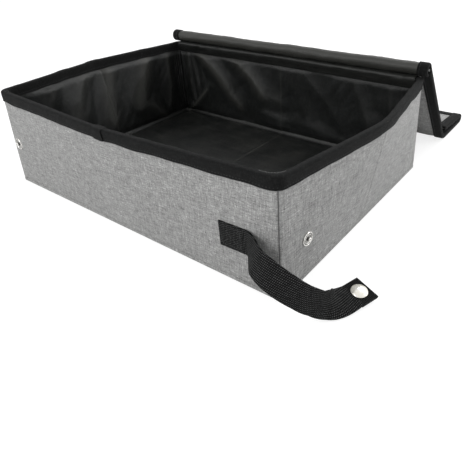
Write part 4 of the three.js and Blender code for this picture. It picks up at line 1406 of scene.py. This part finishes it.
def lid_lining_sway(runs, rises):
    on_roll = np.clip((roll_run + 0.004 - rises) / 0.008, 0, 1)
    wrinkles = lid_wrinkle * np.clip(uneven(runs * 0.55, rises * 2.2, 0.016, 53) + 0.25, 0, 1)
    wrinkles = wrinkles + 0.0006 * np.abs(uneven(runs, rises * 3, 0.006, 57))
    slack = lid_slack * np.clip(0.5 + uneven(runs, rises, 0.05, 59), 0, 1)
    edge = np.clip((lid_between - np.abs(runs)) / 0.008, 0, 1)
    fullness = roll_fullness * np.sin(math.pi * np.clip(rises / roll_run, 0, 1)) ** 1.5
    return (wrinkles * on_roll + slack * (1 - on_roll)) * edge + fullness


def lid_cover_sway(runs, rises):
    edge = np.clip((lid_between - np.abs(runs)) / 0.01, 0, 1)
    ends = np.clip(rises / 0.01, 0, 1)
    return -lid_cover_sag * np.clip(0.5 + uneven(runs, rises, 0.06, 61), 0, 1) * edge * ends


def lid_sheen_and_wear(runs, rises):
    """Painted sheen on the roll, which is much paler, and wear in faint patches on the panels."""
    patches = 0.16 * np.clip(uneven(runs, rises * 0.6, 0.04, 83) + 0.2, 0, 1)
    # Painted sheen: the roll is painted much paler, for the sheen along it
    on_roll = 0.62 * np.clip((roll_run + 0.004 - rises) / 0.008, 0, 1)
    return on_roll * np.clip((0.198 - np.abs(runs)) / 0.004, 0, 1) + patches


lid_columns = evenly(-lid_stack_half, lid_stack_half, 0.0045)
middle_turn = ((0, 0.2560, 0.0071), (0, 0.2610, 0.0071))
for name, spots, sway, cloth, turned_over, masks, nodes_replaced, slot in (
    ("lid_lining", lid_lining_spots, lid_lining_sway, lining_cloth, False, {"wear_and_sheen": lid_sheen_and_wear},
     ("lid_rear_lining", "lid_hinge_roll", "lid_middle_lining"), "lining"),
    ("lid_cloth", lid_cover_spots, lid_cover_sway, cover_cloth, True, None,
     ("lid_rear_cover", "lid_middle_cover"), "cover"),
):
    place, length = along_path(spots, sway)
    if slot == "cover":
        rises = evenly(0, length, 0.004)
    else:
        rises = evenly(0, roll_run + 0.004, 0.0011) + evenly(roll_run + 0.006, length, 0.004)
    piece = cloth_grid(name, lid_columns, rises, place, cloth, flip=turned_over, masks=masks)
    thicken(piece, cloth_thickness)
    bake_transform(piece)
    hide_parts(*nodes_replaced)



def front_sway(runs, rises):
    return front_sag * uneven(runs, rises, 0.05, 67) * np.clip(rises / 0.02, 0, 1)


# The front panel's cloths, each turned round the fold from the middle panel's edge
hem_end, middle_edge = 0.0738, 0.0749
for name, level, cloth, turned_over, node_replaced, slot, steps in (
    ("lid_front_inside", flat_lining, lining_cloth, False, "lid_front_lining", "lining", 8),
    ("lid_front_outside", flat_lining - lid_stack, cover_cloth, True,
     "lid_front_cover", "cover", 14),
):
    spots = [middle_spot(middle_edge, level)]
    for step in range(1, steps):
        angle = -math.pi / 2 + front_angle * step / steps
        spots.append((front_fold_y - level * math.cos(angle), fold_level - level * math.sin(angle)))
    spots += [front_spot(a, level) for a in evenly(0.0, hem_end, 0.004)]
    place, length = along_path(spots, front_sway)
    rises = evenly(0, 0.02, 0.001) + evenly(0.023, length, 0.004)
    piece = cloth_grid(name, lid_columns, rises, place, cloth, flip=turned_over)
    thicken(piece, cloth_thickness)
    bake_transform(piece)
    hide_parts(node_replaced)


def edge_tape(name, side, spot, alongs, top, bottom, bodies, turn, *nodes_replaced):
    """A tape folded over a panel's side edge. spot gives (y, z) at a place along the panel and
    a level. top and bottom are its outer levels, as functions of that place. Rises count the
    rows of its section, from the top's inner edge round to the bottom's."""
    inner, outer, radius = lid_between + 0.0003, lid_half, 0.0022
    row, full_height = 0.0012, 0.0048
    section = [(x, 1.0, 0.0) for x in evenly(inner, outer - radius, 0.0014)]
    corner = [math.pi / 2 * k / 6 for k in range(1, 7)]
    section += [
        (outer - radius * (1 - math.sin(a)), 1.0, -radius * (1 - math.cos(a))) for a in corner
    ]
    section += [(outer, 0.5, 0.0)]
    section += [
        (outer - radius * (1 - math.cos(a)), 0.0, radius * (1 - math.sin(a)))
        for a in [0] + corner
    ]
    section += [(x, 0.0, 0.0) for x in evenly(outer - radius, inner, 0.0014)[1:]]
    xs, shares, lifts = (np.array(column)[:, None] for column in zip(*section))
    widths = np.arange(len(section)) * row

    def place(runs, rises):
        index = np.rint(rises[:, 0] / row).astype(int)
        result = np.zeros((len(index), runs.shape[1], 3))
        result[:, :, 0] = side * xs[index]
        for j, along in enumerate(runs[0]):
            high, low = top(along), bottom(along)
            roundness = min(1, (high - low) / full_height)
            for i, k in enumerate(index):
                level = low + (high - low) * shares[k, 0] + lifts[k, 0] * roundness
                result[i, j, 1:] = spot(along, level)
        return result

    piece = cloth_grid(name, alongs, widths, place, binding_tape, flip=side > 0)
    thicken(piece, tape_thickness)
    pieces = [piece]
    for row_name, index, sign in (("top", 2, 1), ("bottom", len(section) - 3, -1)):
        spots = place(np.array(alongs)[None, :], np.array([[index * row]]))[0]
        out = unit(np.cross((1, 0, 0), np.gradient(spots, axis=0)) * sign)
        stitches = along_line(spots, out)
        if stitches:
            pieces.append(sew(f"{name}_stitches_{row_name}", stitches))
    for one in pieces:
        if turn:
            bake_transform(one)
        else:
            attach(one, bodies[0])
    if nodes_replaced:
        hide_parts(*nodes_replaced)


def pinched(share):
    """How full a tape is near its end, where it is folded in: from 0.12 to 1."""
    return 0.12 + 0.88 * math.sqrt(1 - (1 - min(max(share, 0), 1)) ** 2)


def rear_tape_top(along):
    fullness = roll_fullness * math.sin(math.pi * min(max(-along / roll_run, 0), 1)) ** 1.5
    return 0.0056 + 0.0016 * pinched((along + roll_run) / 0.002) + fullness


def rear_tape_bottom(along):
    share = min(max((along + 0.003) / 0.011, 0), 1)
    flat = 0.0040 + (0.0002 - 0.0040) * share * share * (3 - 2 * share)
    return flat + 0.0016 * (1 - pinched((along + roll_run) / 0.002))


# The front panel's tape turns round the fold with the cloth, from flat on the middle panel
fold_run = 0.0071 * front_angle


def fold_spot(along, level):
    angle = front_angle * along / fold_run
    return (front_fold_y - level * math.sin(angle), fold_level + level * math.cos(angle))


# On the folded panel the tape lies between these levels, and it is pinched at its end
tape_high, tape_low = -0.0001, -0.0071
tape_middle, tape_half, tape_end = -0.0036, 0.0035, 0.0752


def fold_tape_top(along):
    return tape_high


def fold_tape_bottom(along):
    return tape_low


def front_tape_top(along):
    return tape_middle + tape_half * pinched((tape_end - along) / 0.0024)


def front_tape_bottom(along):
    return tape_middle - tape_half * pinched((tape_end - along) / 0.0024)


rear_places = evenly(-roll_run, -roll_run + 0.002, 0.0003) + evenly(-roll_run + 0.0028, 0, 0.0009)
rear_places += evenly(0.001, 0.009, 0.001) + evenly(0.011, bend_start, 0.003)
rear_places += evenly(bend_start + 0.0012, bend_start + bend_run, 0.0012)
rear_places += evenly(bend_start + bend_run + 0.003, lid_run, 0.003)
for side, side_name in ((1, "right"), (-1, "left")):
    edge_tape(
        f"lid_tape_{side_name}", side, lid_spot, rear_places, rear_tape_top, rear_tape_bottom,
        ("lid_rear", "lid_middle"), middle_turn,
        f"lid_rear_binding_{side_name}", f"lid_middle_binding_{side_name}",
    )
    edge_tape(
        f"lid_tape_fold_{side_name}", side, fold_spot, evenly(0.0002, fold_run, 0.001),
        fold_tape_top, fold_tape_bottom,
        ("lid_middle", "lid_front"), ((0, front_fold_y, 0.0002), (0, front_fold_y, 0.0140)),
    )
    edge_tape(
        f"lid_tape_front_{side_name}", side, front_spot,
        evenly(0, 0.072, 0.003) + evenly(0.0728, tape_end, 0.0003),
        front_tape_top, front_tape_bottom,
        ("lid_front",), None, f"lid_front_binding_{side_name}",
    )

# The free edge's tape, the tape over the fold, and the seam that holds the roll
hem_start, hem_turn, hem_radius, hem_lower = 0.063, 0.0728, 0.0022, -0.0049
quarter = [k * math.pi / 12 for k in range(7)]
hem_spots = [front_spot(a, tape_high) for a in evenly(hem_start, hem_turn, 0.0014)]
hem_spots += [
    front_spot(hem_turn + hem_radius * math.sin(a), tape_high - hem_radius * (1 - math.cos(a)))
    for a in quarter[1:]
]
hem_spots += [
    front_spot(hem_turn + hem_radius * math.cos(a), hem_lower - hem_radius * math.sin(a))
    for a in quarter
]
hem_spots += [front_spot(a, tape_low) for a in evenly(hem_turn, hem_start, 0.0014)[1:]]
band_spots = [front_spot(a, level) for a, level in (
    (0.0003, -0.0062), (0.0006, -0.0069), (0.0015, -0.0071), (0.004, -0.0072), (0.007, -0.0072),
    (0.010, -0.0072), (0.0125, -0.0071), (0.0131, -0.0069), (0.0133, -0.0062),
)]
skirt_spots = [
    (0.1432, 0.1042), (0.1428, 0.1054), (0.1420, 0.1072), (0.1411, 0.1092), (0.1402, 0.1112),
    (0.1395, 0.1132), (0.1391, 0.1150), (0.1391, 0.1166), (0.1397, 0.1180), (0.1411, 0.1188),
    (0.1430, 0.1192), (0.1450, 0.1194), (0.1470, 0.1195), (0.1484, 0.1193), (0.1491, 0.1189),
    (0.1492, 0.1183),
]


def still(runs, rises):
    return 0 * runs + 0 * rises


def skirt_sway(runs, rises):
    waves = 0.0009 * uneven(runs * 0.8, rises * 2, 0.02, 71)
    waves = waves + 0.0005 * uneven(runs, rises * 3, 0.007, 73)
    loose = np.clip(rises / 0.004, 0, 1) * np.clip((0.0175 - rises) / 0.004, 0, 1)
    return waves * loose


def skirt_paleness(runs, rises):
    """Paler above its lower edge, and more so towards the right."""
    return np.clip(rises / 0.002, 0.2, 1) * (0.04 + 0.16 * np.clip((runs + 0.19) / 0.26, 0, 1))


skirt_high = 0.1195
for name, spots, turned_over, body, node, thick, cloth in (
    ("lid_hem_tape", hem_spots, False, "lid_front", "lid_front_hem_binding",
     tape_thickness, binding_tape),
    ("lid_fold_tape", band_spots, True, "lid_front", "lid_crease_band", 0.0005, binding_tape),
    ("lid_skirt", skirt_spots, False, "root", "lid_hinge_welt", 0.0006, lining_cloth),
):
    on_skirt = name == "lid_skirt"
    place, length = along_path(spots, skirt_sway if on_skirt else still)
    widths = evenly(0, length, 0.0012) if on_skirt else lengths_along(np.array(spots))
    columns = evenly(-lid_between, lid_between, 0.003 if on_skirt else 0.004)
    piece = cloth_grid(
        name, columns, widths, place, cloth, flip=turned_over,
        masks={"wear_and_sheen": skirt_paleness} if on_skirt else None,
    )
    if on_skirt:
        for vert in piece.data.vertices:
            below = min(max((skirt_high - vert.co.z) / 0.002, 0), 1)
            vert.co.y -= corner_lean * abs(vert.co.x) / half_length * below
    thicken(piece, thick)
    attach(piece, body)
    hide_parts(node)
